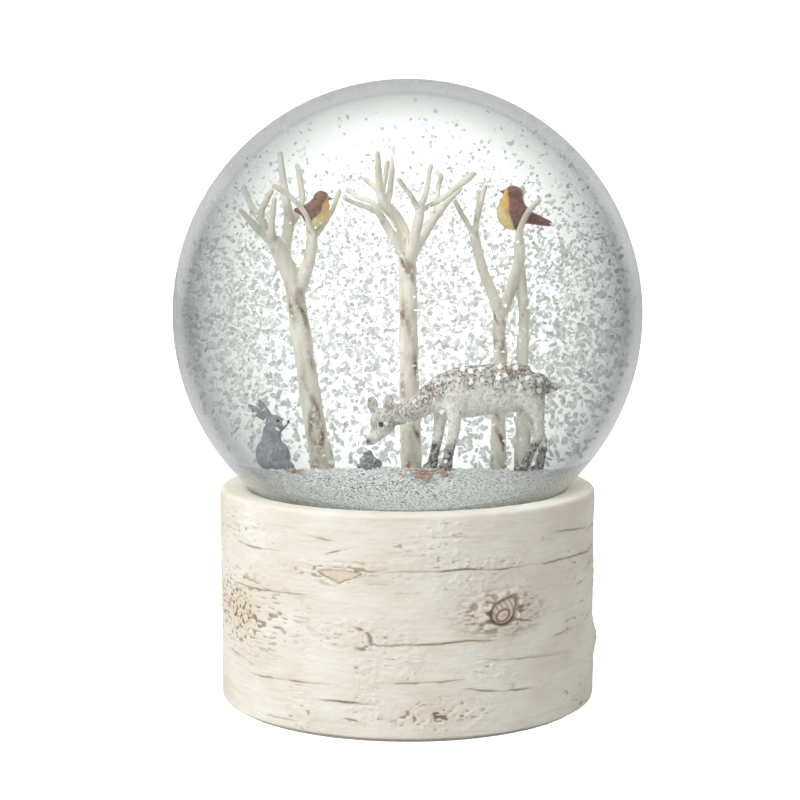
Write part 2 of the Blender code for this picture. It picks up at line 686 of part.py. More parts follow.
def cylinder_arbor():
    return rod("cylinder_arbor", 0.7, (-4.9, 0, CYLINDER_Z), (21.3, 0, CYLINDER_Z), 12)


def cylinder_pinion():
    outline = gear_outline(DRIVEN_TEETH, DRIVEN_PITCH_RADIUS, 0.32, 0.43, 0.6, -90)
    pinion = outline_curve("cylinder_pinion", [outline, circle(ARBOR_BORE, 12)], 1.6)
    return facing_x(pinion, KEY_X + CROWN_PITCH_RADIUS, 0, CYLINDER_Z)


def cylinder_wheel():
    radius = TRAIN_MODULE * CYLINDER_WHEEL_TEETH / 2
    outline = gear_outline(CYLINDER_WHEEL_TEETH, radius, 0.3, 0.42, 0.46, 0)
    wheel = outline_curve("cylinder_wheel", [outline, circle(ARBOR_BORE, 12)], 1.0)
    return facing_x(wheel, 18.5, 0, CYLINDER_Z)


def governor_pinion():
    radius = TRAIN_MODULE * GOVERNOR_PINION_TEETH / 2
    outline = gear_outline(GOVERNOR_PINION_TEETH, radius, 0.3, 0.42, 0.46, 180 + 180 / GOVERNOR_PINION_TEETH)
    pinion = outline_curve("governor_pinion", [outline, circle(0.9, 12)], 1.4)
    return facing_x(pinion, 18.5, GOVERNOR_Y, CYLINDER_Z)


def governor_arbor():
    return rod("governor_arbor", 0.6, (17.4, GOVERNOR_Y, CYLINDER_Z), (24.7, GOVERNOR_Y, CYLINDER_Z), 12)


def worm_wheel():
    radius = WORM_WHEEL_MODULE * WORM_WHEEL_TEETH / 2
    outline = gear_outline(WORM_WHEEL_TEETH, radius, 0.3, 0.4, 0.5, 0)
    wheel = outline_curve("worm_wheel", [outline, circle(0.9, 12)], 1.0)
    return facing_x(wheel, WORM_WHEEL_X, GOVERNOR_Y, CYLINDER_Z)


def governor_frame():
    """A foot, two cheeks for the governor arbor, and a post and arm over the air brake."""
    foot_low = PLATE_Z[1] + GAP
    foot = block("governor_frame", (20.0, 5.0, foot_low), (24.2, 16.5, foot_low + 0.8))
    others = [
        block("cheek_in", (20.0, 5.2, foot_low + 0.3), (20.7, 8.8, 27.2)),
        block("cheek_out", (23.5, 5.2, foot_low + 0.3), (24.2, 8.8, 27.2)),
        block("post", (20.6, 15.7, foot_low + 0.3), (23.6, 16.4, 30.3)),
        block("arm", (20.7, 10.6, 29.5), (23.5, 16.3, 30.25)),
    ]
    combine(foot, "UNION", others)
    bore = rod("cheek_bore", 0.9, (19.0, GOVERNOR_Y, CYLINDER_Z), (25.5, GOVERNOR_Y, CYLINDER_Z), 12)
    return combine(foot, "DIFFERENCE", [bore])


def air_brake():
    """The governor's fan: a thin shaft, two vanes and a worm."""
    x = WORM_WHEEL_X
    shaft = rod("air_brake", 0.5, (x, FAN_Y, 14.3), (x, FAN_Y, 29.2), 12)
    vanes = block("vanes", (x - 3.1, FAN_Y - 0.15, 15.2), (x + 3.1, FAN_Y + 0.15, 20.3))
    pitch, turns, per_turn, reach = 1.4, 3, 8, 0.62
    steps = [(2 * math.pi * i / per_turn, 22.5 + pitch * i / per_turn) for i in range(turns * per_turn + 1)]
    helix = [(x + reach * math.cos(a), FAN_Y + reach * math.sin(a), z, 0.32) for a, z in steps]
    thread = tube("worm_thread", helix, 0)
    return combine(shaft, "UNION", [vanes, thread])


# ---------------------------------------------------------------- assembly

def build():
    glass = make_material("glass", (0.93, 0.97, 0.95), 0.02, transmission=1.0)
    rubber = make_material("rubber", (0.05, 0.05, 0.05), 0.7)
    silicone = make_material("silicone", (0.82, 0.82, 0.8), 0.4)
    snow = make_material("snow_resin", (0.86, 0.87, 0.88), 0.6)
    loose_snow = make_material("loose_snow", (0.92, 0.93, 0.94), 0.5)
    tree_bark = make_material("tree_bark", (0.78, 0.74, 0.63), 0.5)
    bird = make_material("robin_paint", (0.3, 0.14, 0.08), 0.5)
    deer = make_material("fawn_paint", (0.55, 0.53, 0.49), 0.55)
    grey_fur = make_material("rabbit_paint", (0.3, 0.3, 0.33), 0.55)
    stone = make_material("rock_paint", (0.4, 0.4, 0.41), 0.7)
    leaf = make_material("leaf_paint", (0.5, 0.27, 0.14), 0.6)
    birch = make_material("birch_resin", (0.84, 0.8, 0.71), 0.6)
    board = make_material("cover_plastic", (0.12, 0.12, 0.12), 0.5)
    felt = make_material("felt", (0.7, 0.68, 0.62), 0.95)
    zinc = make_material("zinc", (0.6, 0.61, 0.63), 0.35, 1.0)
    brass = make_material("brass", (0.78, 0.58, 0.26), 0.3, 1.0)
    steel = make_material("steel", (0.66, 0.67, 0.69), 0.25, 1.0)
    chrome = make_material("chrome", (0.8, 0.81, 0.83), 0.12, 1.0)

    place(glass_globe(), glass)
    place(globe_plug(), rubber)
    place(seal_ring(), silicone)
    place(snow_ground(), snow)
    place(settled_snow(), loose_snow)
    place(tree("tree_left", (-13.5, 2.0, 57.8), LEFT_TREE), tree_bark)
    place(tree("tree_centre", (0.6, -1.0, 58.4), CENTRE_TREE), tree_bark)
    place(tree("tree_right", (14.0, 9.0, 57.5), RIGHT_TREE), tree_bark)
    place(robin("robin_left", (-14.5, -1.0, 100.0), 1, 0.2, 0.85), bird)
    place(robin("robin_right", (16.8, 11.6, 98.0), -1, 0.6, 1.15), bird)
    place(fawn(), deer)
    place(rabbit(), grey_fur)
    rock_z = ground_z(-6.4, -8.0) + 1.8
    place(lump("snowy_rock", (-6.4, -8.0, rock_z), (1.5, 1.3, 1.3), 0.1, 5), stone)
    leaf_z = ground_z(2.4, -12.8) + 0.75
    place(lump("leaf_litter", (2.4, -12.8, leaf_z), (3.0, 1.9, 0.25), 0.06, 6, lean=20), leaf)

    place(birch_base(), birch)
    place(neck_seat(), board)
    place(base_cover(), board)
    place(felt_ring(), felt)
    for number, (x, y) in enumerate(cover_screw_places(), 1):
        place(screw(f"cover_screw_{number}", x, y, (COVER_Z[0] - GAP, 7.6), 17.5), steel)

    place(movement_plate(), zinc)
    for number, (x, y) in enumerate(MOVEMENT_SCREWS, 1):
        place(screw(f"movement_screw_{number}", x, y, (COVER_Z[0] - GAP, 7.9), PLATE_Z[1] + 0.2), steel)
    place(spring_barrel(), brass)
    place(mainspring(), steel)
    place(winding_arbor(), steel)
    place(great_wheel(), brass)
    place(winding_key(), chrome)
    place(pin_cylinder(), brass)
    place(cylinder_arbor(), steel)
    place(cylinder_pinion(), brass)
    place(cylinder_wheel(), brass)
    place(tune_comb(), steel)
    place(comb_bracket(), zinc)
    for number, (x, y) in enumerate(COMB_SCREWS, 1):
        place(screw(f"comb_screw_{number}", x, y, (COMB_Z[1] + GAP, 26.6), 18.5), steel)
    place(governor_arbor(), steel)
    place(governor_pinion(), brass)
    place(worm_wheel(), brass)
    place(governor_frame(), zinc)
    place(air_brake(), steel)


build()
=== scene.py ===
"""The looks of a snow globe on a birch-bark base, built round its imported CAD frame.

Lengths below are in millimetres in the frame's own axes and are turned into metres as the meshes are made.
+Z is up, the origin is the middle of the base's underside, and the front faces -Y.
"""

import json
import math
import random

import bmesh
import bpy
import numpy as np
from mathutils import Matrix, Vector


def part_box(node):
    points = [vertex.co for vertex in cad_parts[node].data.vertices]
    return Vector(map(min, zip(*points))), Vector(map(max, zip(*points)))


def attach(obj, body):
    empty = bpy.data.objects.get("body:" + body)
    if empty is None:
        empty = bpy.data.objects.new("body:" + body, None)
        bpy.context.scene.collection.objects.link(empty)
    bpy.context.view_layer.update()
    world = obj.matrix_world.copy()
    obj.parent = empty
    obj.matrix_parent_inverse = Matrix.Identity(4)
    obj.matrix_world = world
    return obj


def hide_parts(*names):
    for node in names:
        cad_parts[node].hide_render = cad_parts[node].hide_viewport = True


MM = 0.001
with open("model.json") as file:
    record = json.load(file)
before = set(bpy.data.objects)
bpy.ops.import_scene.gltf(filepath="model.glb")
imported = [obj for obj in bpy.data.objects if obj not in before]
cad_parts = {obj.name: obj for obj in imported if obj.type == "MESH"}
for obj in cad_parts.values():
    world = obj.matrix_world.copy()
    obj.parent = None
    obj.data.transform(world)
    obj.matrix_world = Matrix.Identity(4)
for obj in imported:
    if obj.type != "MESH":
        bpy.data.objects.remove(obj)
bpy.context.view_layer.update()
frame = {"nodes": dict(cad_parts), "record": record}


def box_mm(node):
    """A CAD node's lowest and highest corners, in millimetres."""
    low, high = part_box(node)
    return np.array(low) / MM, np.array(high) / MM


# ---------------------------------------------------------------- driving sizes, from the frame

glass_low, glass_high = box_mm("glass_globe")
base_low, base_high = box_mm("birch_base")
mound_low, mound_high = box_mm("snow_ground")
bank_low = box_mm("settled_snow")[0]

GLOBE_RADIUS = (glass_high[0] - glass_low[0]) / 2
GLOBE_Z = glass_high[2] - GLOBE_RADIUS
GLASS_WALL = 2.3
NECK_RADIUS, NECK_BORE = 32.0, 29.5
NECK_END_Z, NECK_EDGE = glass_low[2], 0.4
WATER_RADIUS = GLOBE_RADIUS - GLASS_WALL

BASE_RADIUS = (base_high[0] - base_low[0]) / 2
BASE_TOP_Z, BASE_BOTTOM_Z = base_high[2], base_low[2]

GROUND_RADIUS = (mound_high[0] - mound_low[0]) / 2
GROUND_PEAK_Z, GROUND_FOOT_Z = mound_high[2], mound_low[2]

GLASS_IOR, WATER_IOR = 1.5, 1.33
GLASS_STEPS = 220

# The camera, fitted to the ball's outline and the base's edges
CAMERA_PLACE = (-1.6, -430.0, 113.4)
CAMERA_PITCH = 6.5
CAMERA_LENS, CAMERA_SENSOR = 90.54, 36.0


LEVEL_BACK_Y, SLOPE_START_Y, SLOPE_EASE = 6.0, -10.0, 3.0


def ground_z(x, y):
    """The height of the snow at a point: nearly level, lower to each side, with a slope down to the front."""
    level_fall = 0.06 * np.maximum(0.0, LEVEL_BACK_Y - y) + 0.002 * x * x
    past_edge = np.maximum(0.0, SLOPE_START_Y - y)
    return GROUND_PEAK_Z - level_fall - 0.5 * (np.hypot(past_edge, SLOPE_EASE) - SLOPE_EASE)


# ---------------------------------------------------------------- mesh helpers

# The noise tables' sizes: rows of the bark's lattice, and cells along each side of the lattice in space
LATTICE_ROWS, SPACE_CELLS = 509, 61


def lattice(u, v, wrap, seed):
    """Smooth noise from -1 to 1 on a square lattice; u repeats after wrap cells."""
    table = np.random.default_rng(seed).uniform(-1, 1, (wrap, LATTICE_ROWS))
    cell_u, cell_v = np.floor(u).astype(int), np.floor(v).astype(int)
    part_u, part_v = u - cell_u, v - cell_v
    part_u = part_u * part_u * (3 - 2 * part_u)
    part_v = part_v * part_v * (3 - 2 * part_v)
    here_u, next_u = cell_u % wrap, (cell_u + 1) % wrap
    here_v, next_v = cell_v % LATTICE_ROWS, (cell_v + 1) % LATTICE_ROWS
    low = table[here_u, here_v] * (1 - part_u) + table[next_u, here_v] * part_u
    high = table[here_u, next_v] * (1 - part_u) + table[next_u, next_v] * part_u
    return low * (1 - part_v) + high * part_v


def space_noise(points, size, seed, octaves=2):
    """Smooth noise from -1 to 1 in space; size is its lump size in mm."""
    total, reach = np.zeros(len(points)), 0.0
    for octave in range(octaves):
        scaled = np.asarray(points) / size * 2**octave + 100
        table = np.random.default_rng(seed + octave).uniform(-1, 1, (SPACE_CELLS,) * 3)
        cell = np.floor(scaled).astype(int)
        part = scaled - cell
        part = part * part * (3 - 2 * part)
        value = np.zeros(len(points))
        for corner in np.ndindex(2, 2, 2):
            weight = np.prod(np.where(corner, part, 1 - part), axis=1)
            index = (cell + corner) % SPACE_CELLS
            value += weight * table[index[:, 0], index[:, 1], index[:, 2]]
        total += value / 2**octave
        reach += 1 / 2**octave
    return total / reach


def smooth_step(value, start, end):
    part = np.clip((value - start) / (end - start), 0, 1)
    return part * part * (3 - 2 * part)


def make_object(name, points, faces, smooth=True):
    """An object from points in mm and faces as an array or a list of tuples."""
    mesh = bpy.data.meshes.new(name)
    faces = faces.tolist() if isinstance(faces, np.ndarray) else faces
    mesh.from_pydata((np.asarray(points, float) * MM).tolist(), [], faces)
    mesh.update()
    if smooth:
        mesh.shade_smooth()
    obj = bpy.data.objects.new(name, mesh)
    bpy.context.scene.collection.objects.link(obj)
    return obj


def finish_piece(obj, slot, nodes, *materials):
    """Gives a piece its materials, puts it under the globe and base's body and hides the CAD nodes it stands
    for.
    Every piece made here stays with the globe and base; the moving parts keep their CAD shapes."""
    for made in materials:
        obj.data.materials.append(made)
    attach(obj, "globe_and_base")
    if nodes:
        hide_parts(*nodes)
    return obj


def set_mask(obj, name, values):
    attribute = obj.data.attributes.new(name, "FLOAT", "POINT")
    attribute.data.foreach_set("value", np.asarray(values, np.float32))


def points_of(obj):
    co = np.empty(len(obj.data.vertices) * 3)
    obj.data.vertices.foreach_get("co", co)
    return co.reshape(-1, 3) / MM


def move_points(obj, points):
    obj.data.vertices.foreach_set("co", (np.asarray(points) * MM).ravel())
    obj.data.update()


def normals_of(obj):
    normal = np.empty(len(obj.data.vertices) * 3, np.float32)
    obj.data.vertex_normals.foreach_get("vector", normal)
    return normal.reshape(-1, 3).astype(float)


def push_out(obj, amount):
    """Moves every point along its normal by its own amount."""
    move_points(obj, points_of(obj) + normals_of(obj) * np.asarray(amount)[:, None])


def welded(obj, turn_out=True):
    """Joins points that lie together and, if asked, turns every face outwards."""
    bm = bmesh.new()
    bm.from_mesh(obj.data)
    bmesh.ops.remove_doubles(bm, verts=bm.verts, dist=1e-7)
    if turn_out:
        bmesh.ops.recalc_face_normals(bm, faces=bm.faces)
    bm.to_mesh(obj.data)
    bm.free()
    obj.data.shade_smooth()


def turned(profile, steps, closed=False):
    """A profile of (radius, z) turned about the vertical axis, as points and faces. Faces look away from the
    axis where the profile runs upwards. A radius of 0 becomes one point."""
    points, rings = [], []
    turn = np.linspace(0, 2 * np.pi, steps, endpoint=False)
    for radius, z in profile:
        start = len(points)
        if radius < 1e-6:
            points.append((0, 0, z))
            rings.append([start] * steps)
        else:
            points += [(radius * math.cos(a), radius * math.sin(a), z) for a in turn]
            rings.append(list(range(start, start + steps)))
    faces = []
    pairs = list(zip(rings, rings[1:])) + ([(rings[-1], rings[0])] if closed else [])
    for low, high in pairs:
        for i in range(steps):
            j = (i + 1) % steps
            corners = [low[i], low[j], high[j], high[i]]
            faces.append(tuple(dict.fromkeys(corners)))
    return points, faces


def arc(radius, centre_z, start, end, count):
    """Points (r, z) on a circle about (0, centre_z); angles are in degrees up from straight down."""
    angles = np.radians(np.linspace(start, end, count + 1))
    return [(radius * math.sin(a), centre_z - radius * math.cos(a)) for a in angles]


def eased_route(route, per_span=6):
    """A smooth curve through points of (x, y, z, radius)."""
    knots = np.array(route, float)
    knots = np.vstack([2 * knots[0] - knots[1], knots, 2 * knots[-1] - knots[-2]])
    out = []
    for i in range(1, len(knots) - 2):
        a, b, c, d = knots[i - 1 : i + 3]
        for t in np.linspace(0, 1, per_span, endpoint=False):
            bend = (2 * a - 5 * b + 4 * c - d) * t**2 + (3 * b - a - 3 * c + d) * t**3
            out.append(0.5 * (2 * b + (c - a) * t + bend))
    out.append(knots[-2])
    out = np.array(out)
    out[:, 3] = np.maximum(out[:, 3], 0.05)
    return out


def tube(route, sides=14, squeeze=1.0, lumpy=0.0, seed=1):
    """A closed round bar along a route of (x, y, z, radius); squeeze narrows it along Y."""
    route = eased_route(route)
    centre, radius = route[:, :3], route[:, 3]
    if lumpy:
        radius = radius * (1 + lumpy * space_noise(centre, 2.5, seed))
    run = np.gradient(centre, axis=0)
    run /= np.linalg.norm(run, axis=1)[:, None]
    side = np.cross(run, (0.0, 1.0, 0.0))
    flat = np.linalg.norm(side, axis=1) < 0.2
    side[flat] = np.cross(run[flat], (1.0, 0.0, 0.0))
    side /= np.linalg.norm(side, axis=1)[:, None]
    other = np.cross(run, side)
    turn = np.linspace(0, 2 * np.pi, sides, endpoint=False)
    # Rows of (knot, share of its radius along the bar, share of it outwards), with a rounded cap at each end
    last = len(centre) - 1
    rows = [(0, -0.8, 0.45), (0, -0.45, 0.85)] + [(i, 0, 1) for i in range(last + 1)]
    rows += [(last, 0.45, 0.85), (last, 0.8, 0.45)]
    points = []
    for i, on, out in rows:
        round_ = radius[i] * out * (np.cos(turn)[:, None] * side[i] + np.sin(turn)[:, None] * other[i])
        points.append(centre[i] + run[i] * radius[i] * on + round_ * (1, squeeze, 1))
    tips = [centre[i] + run[i] * radius[i] * on for i, on in ((0, -0.95), (last, 0.95))]
    points = np.vstack(points + tips)
    faces, end, tip = [], (len(rows) - 1) * sides, len(rows) * sides
    for i in range(sides):
        j = (i + 1) % sides
        faces += [(row + i, row + j, row + sides + j, row + sides + i) for row in range(0, end, sides)]
        faces += [(tip, j, i), (tip + 1, end + i, end + j)]
    return points, faces


def turn_by(x, y, z):
    """A turn about X, then Y, then Z, in radians."""
    return Matrix.Rotation(z, 3, "Z") @ Matrix.Rotation(y, 3, "Y") @ Matrix.Rotation(x, 3, "X")


def ball(centre, half_sizes, tilt=(0.0, 0.0, 0.0)):
    """An egg shape; tilt is its turn about X, Y and Z in degrees."""
    bm = bmesh.new()
    bmesh.ops.create_icosphere(bm, subdivisions=3, radius=1.0)
    turn = turn_by(*(math.radians(angle) for angle in tilt))
    points = [turn @ Vector(np.array(v.co) * half_sizes) + Vector(centre) for v in bm.verts]
    faces = [tuple(v.index for v in f.verts) for f in bm.faces]
    bm.free()
    return np.array(points), faces


def joined(shapes):
    """The points and faces of several shapes as one list of each."""
    points, faces = [], []
    for shape_points, shape_faces in shapes:
        start = sum(len(p) for p in points)
        points.append(np.asarray(shape_points, float))
        faces += [tuple(i + start for i in face) for face in shape_faces]
    return np.vstack(points), faces


def fused(name, shapes, voxel, soften=3):
    """Several overlapping closed shapes grown together into one skin."""
    obj = make_object(name, *joined(shapes))
    skin = obj.modifiers.new("skin", "REMESH")
    skin.mode = "VOXEL"
    skin.voxel_size = voxel * MM
    skin.use_smooth_shade = True
    relax = obj.modifiers.new("relax", "SMOOTH")
    relax.factor = 0.5
    relax.iterations = soften
    graph = bpy.context.evaluated_depsgraph_get()
    mesh = bpy.data.meshes.new_from_object(obj.evaluated_get(graph))
    obj.modifiers.clear()
    obj.data = mesh
    mesh.name = name
    mesh.shade_smooth()
    return obj


# ---------------------------------------------------------------- material helpers

def add(tree, kind, inputs=(), **settings):
    """A node; inputs is a dictionary of socket name or number to a value or another node's output."""
    node = tree.nodes.new(kind)
    for key, value in settings.items():
        setattr(node, key, value)
    for key, value in dict(inputs).items():
        if isinstance(value, bpy.types.NodeSocket):
            tree.links.new(value, node.inputs[key])
        else:
            node.inputs[key].default_value = value
    return node


def new_material(name, **values):
    """A material with its Principled shader set: the keyword names are the socket names with _ for spaces."""
    made = bpy.data.materials.new(name)
    made.use_nodes = True
    shader = made.node_tree.nodes["Principled BSDF"]
    for key, value in values.items():
        shader.inputs[key.replace("_", " ")].default_value = value
    return made, made.node_tree, shader


def place_of(tree, stretch=(1.0, 1.0, 1.0)):
    """The piece's own place in space, in mm, stretched along each axis."""
    where = add(tree, "ShaderNodeTexCoord").outputs["Object"]
    scale = tuple(s / MM for s in stretch)
    return add(tree, "ShaderNodeMapping", {"Vector": where, "Scale": scale}).outputs["Vector"]


def noise(tree, size, detail=3.0, roughness=0.55, stretch=(1.0, 1.0, 1.0), seed=0.0):
    vector = place_of(tree, stretch)
    inputs = {"Vector": vector, "Scale": 1 / size, "Detail": detail, "Roughness": roughness, "W": seed}
    return add(tree, "ShaderNodeTexNoise", inputs, noise_dimensions="4D").outputs["Fac"]


def cells(tree, size, output="Distance"):
    return add(tree, "ShaderNodeTexVoronoi", {"Vector": place_of(tree), "Scale": 1 / size}).outputs[output]


def chip_tone(tree, size):
    """A random grey for each small cell of space."""
    return add(tree, "ShaderNodeSeparateColor", {"Color": cells(tree, size, "Color")}).outputs["Red"]


def linear(colour):
    """A linear colour from a grey, three linear values, or a screen colour of six hexadecimal digits."""
    if isinstance(colour, str):
        values = [c / 255 for c in bytes.fromhex(colour)]
        colour = [c / 12.92 if c <= 0.04045 else ((c + 0.055) / 1.055) ** 2.4 for c in values]
    elif isinstance(colour, (int, float)):
        colour = [colour] * 3
    return (*colour, 1.0)


def ramp(tree, factor, *stops):
    """A colour ramp; stops are (place, colour)."""
    node = add(tree, "ShaderNodeValToRGB", {"Fac": factor})
    elements = node.color_ramp.elements
    elements.remove(elements[1])
    for i, (place, colour) in enumerate(stops):
        element = elements[0] if i == 0 else elements.new(place)
        element.position = place
        element.color = linear(colour)
    return node.outputs["Color"]


def blend(tree, factor, a, b):
    """Mixes a colour socket with another colour; factor 0 gives the first."""
    b = b if isinstance(b, bpy.types.NodeSocket) else linear(b)
    return add(tree, "ShaderNodeMix", {0: factor, 6: a, 7: b}, data_type="RGBA").outputs[2]


def calc(tree, operation, *values, clamp=False):
    node = add(tree, "ShaderNodeMath", dict(enumerate(values)), operation=operation, use_clamp=clamp)
    return node.outputs[0]


def times(tree, a, b, clamp=False):
    return calc(tree, "MULTIPLY", a, b, clamp=clamp)


def mask(tree, name):
    return add(tree, "ShaderNodeAttribute", attribute_name=name).outputs["Fac"]


def bump(tree, shader, height, strength, depth):
    """Bump of a given depth in mm."""
    made = add(tree, "ShaderNodeBump", {"Height": height, "Strength": strength, "Distance": depth * MM})
    tree.links.new(made.outputs["Normal"], shader.inputs["Normal"])


def colour_in(tree, shader, colour, roughness=None):
    tree.links.new(colour, shader.inputs["Base Color"])
    if roughness is not None:
        tree.links.new(roughness, shader.inputs["Roughness"])


# ---------------------------------------------------------------- the glass

def glass_materials():
    """Outer faces meet air. Inner faces meet the liquid, so no other surface is needed for it."""
    clear = {"Roughness": 0.0, "Transmission_Weight": 1.0, "Base_Color": (1, 1, 1, 1)}
    outer, tree, shader = new_material("glass_outer", IOR=GLASS_IOR, **clear)
    facing = add(tree, "ShaderNodeLayerWeight", {"Blend": 0.5}).outputs["Facing"]
    green = (0.95, 1.0, 0.965)

    def tint_and_rim_shade(*stops):
        """The tint from the middle (0) to the rim (1), greenish where the glass is seen aslant; its darkening
        is painted shade.
        """
        stops = ((at, [grey * g for g in green] if at > 0.1 else grey) for at, grey in stops)
        return ramp(tree, facing, *stops)

    def past(start, end):
        """How far the height has come from one level to another, both measured from the ball's middle."""
        return add(tree, "ShaderNodeMapRange", {0: height, 1: GLOBE_Z + start, 2: GLOBE_Z + end}).outputs[0]

    height = add(tree, "ShaderNodeSeparateXYZ", {0: place_of(tree)}).outputs["Z"]
    # Painted shade: the glass darkens towards its rim, by different amounts beside, above and below the
    # ball's middle.
    beside = tint_and_rim_shade((0.0, 0.9), (0.05, 0.88), (0.13, 0.7), (0.29, 0.46), (0.4, 0.31), (0.52, 0.15),
                   (0.6, 0.085), (0.645, 0.06), (0.69, 0.11), (0.78, 0.19), (1.0, 0.26))
    above = tint_and_rim_shade((0.0, 0.9), (0.13, 0.88), (0.3, 0.78), (0.4, 0.58), (0.52, 0.36), (0.62, 0.24),
                  (0.66, 0.16), (0.7, 0.21), (0.8, 0.22), (1.0, 0.26))
    below = tint_and_rim_shade((0.0, 0.92), (0.05, 0.92), (0.13, 0.78), (0.29, 0.55), (0.4, 0.41), (0.52, 0.24),
                  (0.6, 0.15), (0.645, 0.11), (0.69, 0.13), (0.78, 0.2), (1.0, 0.26))
    beside = blend(tree, past(0, -24), beside, below)
    tree.links.new(blend(tree, past(16, 40), beside, above), shader.inputs["Base Color"])
    return outer, new_material("glass_inner", IOR=GLASS_IOR / WATER_IOR, **clear)[0]


def build_glass():
    """The ball with its open neck, and the liquid's surface on its inner side."""
    outer_low = math.degrees(math.asin(NECK_RADIUS / GLOBE_RADIUS))
    inner_low = math.degrees(math.asin(NECK_BORE / WATER_RADIUS))
    edge_z = NECK_END_Z + NECK_EDGE
    neck = [(NECK_BORE, edge_z), (NECK_BORE + NECK_EDGE, NECK_END_Z), (NECK_RADIUS - NECK_EDGE, NECK_END_Z),
            (NECK_RADIUS, edge_z)]
    outside = arc(GLOBE_RADIUS, GLOBE_Z, outer_low, 180, 110)
    inside = arc(WATER_RADIUS, GLOBE_Z, 180, inner_low, 100)
    outer = turned(neck + outside, GLASS_STEPS)
    inner = turned(inside + [(NECK_BORE, edge_z)], GLASS_STEPS)
    obj = make_object("globe_glass", *joined([outer, inner]))
    welded(obj, turn_out=False)
    side = [0] * len(outer[1]) + [1] * len(inner[1])
    obj.data.polygons.foreach_set("material_index", side)
    finish_piece(obj, "glass", ["glass_globe"], *glass_materials())
    obj.visible_shadow = False
    obj.visible_diffuse = False
    return obj


# ---------------------------------------------------------------- snow

# Flakes adrift: places tried, places filled, and how far out they go as a share of the liquid's radius
FLAKE_TRIES, FLAKE_COUNT, FLAKE_REACH = 200000, 8000, 0.76
# Places tried for the settled flakes, and for the grit
GROUND_TRIES = 9000


def flake_material():
    made, tree, shader = new_material("snow_flake", Roughness=0.35, Specular_IOR_Level=0.6)
    shade = ramp(tree, chip_tone(tree, 0.9), (0.0, "c4c8c6"), (0.6, "dee1df"), (1.0, "f6f7f6"))
    colour_in(tree, shader, shade)
    # Painted light: the chips glow faintly in their own colour, standing in for light shining through the
    # thin plastic.
    tree.links.new(shade, shader.inputs["Emission Color"])
    shader.inputs["Emission Strength"].default_value = 0.22
    bump(tree, shader, noise(tree, 0.25, 1), 0.3, 0.05)
    return made


def flake_mesh(name, centres, sizes, seed, thickness=0.07):
    """Thin bent five-sided chips, each turned its own way."""
    chance = np.random.default_rng(seed)
    count, sides = len(centres), 5
    turn = np.sort(chance.uniform(0, 1, (count, sides)) * 0.5 + np.arange(sides), axis=1) * 2 * np.pi / sides
    reach = chance.uniform(0.65, 1.1, (count, sides)) * np.asarray(sizes)[:, None] / 2
    flat = np.stack([reach * np.cos(turn), reach * np.sin(turn) * 0.8, np.zeros_like(reach)], axis=2)
    flat[:, :, 2] = 0.35 * flat[:, :, 0] ** 2 * chance.uniform(-1, 1, (count, 1))
    axis = chance.normal(size=(count, 4))
    axis /= np.linalg.norm(axis, axis=1)[:, None]
    w, x, y, z = axis.T
    spin = np.stack([
        1 - 2 * (y * y + z * z), 2 * (x * y - z * w), 2 * (x * z + y * w),
        2 * (x * y + z * w), 1 - 2 * (x * x + z * z), 2 * (y * z - x * w),
        2 * (x * z - y * w), 2 * (y * z + x * w), 1 - 2 * (x * x + y * y),
    ], axis=1).reshape(count, 3, 3)
    up = spin[:, :, 2] * thickness / 2
    round_ = np.einsum("nij,nkj->nki", spin, flat) + np.asarray(centres)[:, None, :]
    points = np.concatenate([round_ + up[:, None], round_ - up[:, None]], axis=1).reshape(-1, 3)
    faces = []
    for n in range(count):
        top = [n * 2 * sides + i for i in range(sides)]
        low = [i + sides for i in top]
        faces.append(tuple(top))
        faces.append(tuple(reversed(low)))
        faces += [(top[i], low[i], low[(i + 1) % sides], top[(i + 1) % sides]) for i in range(sides)]
    return make_object(name, points, faces, smooth=False)


def drifting_flakes(material):
    """Flakes adrift in the liquid, most of them behind the figures and in the lower half."""
    chance = np.random.default_rng(7)
    spots = chance.uniform(-1, 1, (FLAKE_TRIES, 3)) * WATER_RADIUS
    spots = spots[np.linalg.norm(spots, axis=1) < WATER_RADIUS * FLAKE_REACH]
    x, y, z = spots[:, 0], spots[:, 1], spots[:, 2] + GLOBE_Z
    above = z - ground_z(x, y)
    share = 0.5 + 0.3 * smooth_step(z, GLOBE_Z - 16, GLOBE_Z + 2)
    share *= 1 - 0.92 * smooth_step(z, GLOBE_Z + 4, GLOBE_Z + 30)
    share *= 0.025 + 0.975 * np.maximum(smooth_step(y, 2, 16), 0.6 * smooth_step(np.abs(x), 21, 29))
    share *= 1 + 0.5 * space_noise(spots, 9.0, 9, 1)
    keep = (above > 1.0) & (chance.uniform(0, 1, len(x)) < share)
    found = np.stack([x, y, z], axis=1)[keep][:FLAKE_COUNT]
    low = 1 - smooth_step(found[:, 2], GLOBE_Z - 12, GLOBE_Z + 22)
    sizes = chance.uniform(0.6, 1.0, len(found)) * (0.9 + 0.55 * low)
    obj = flake_mesh("drifting_flakes", found, sizes, 8)
    return finish_piece(obj, "loose_snow", [], material)


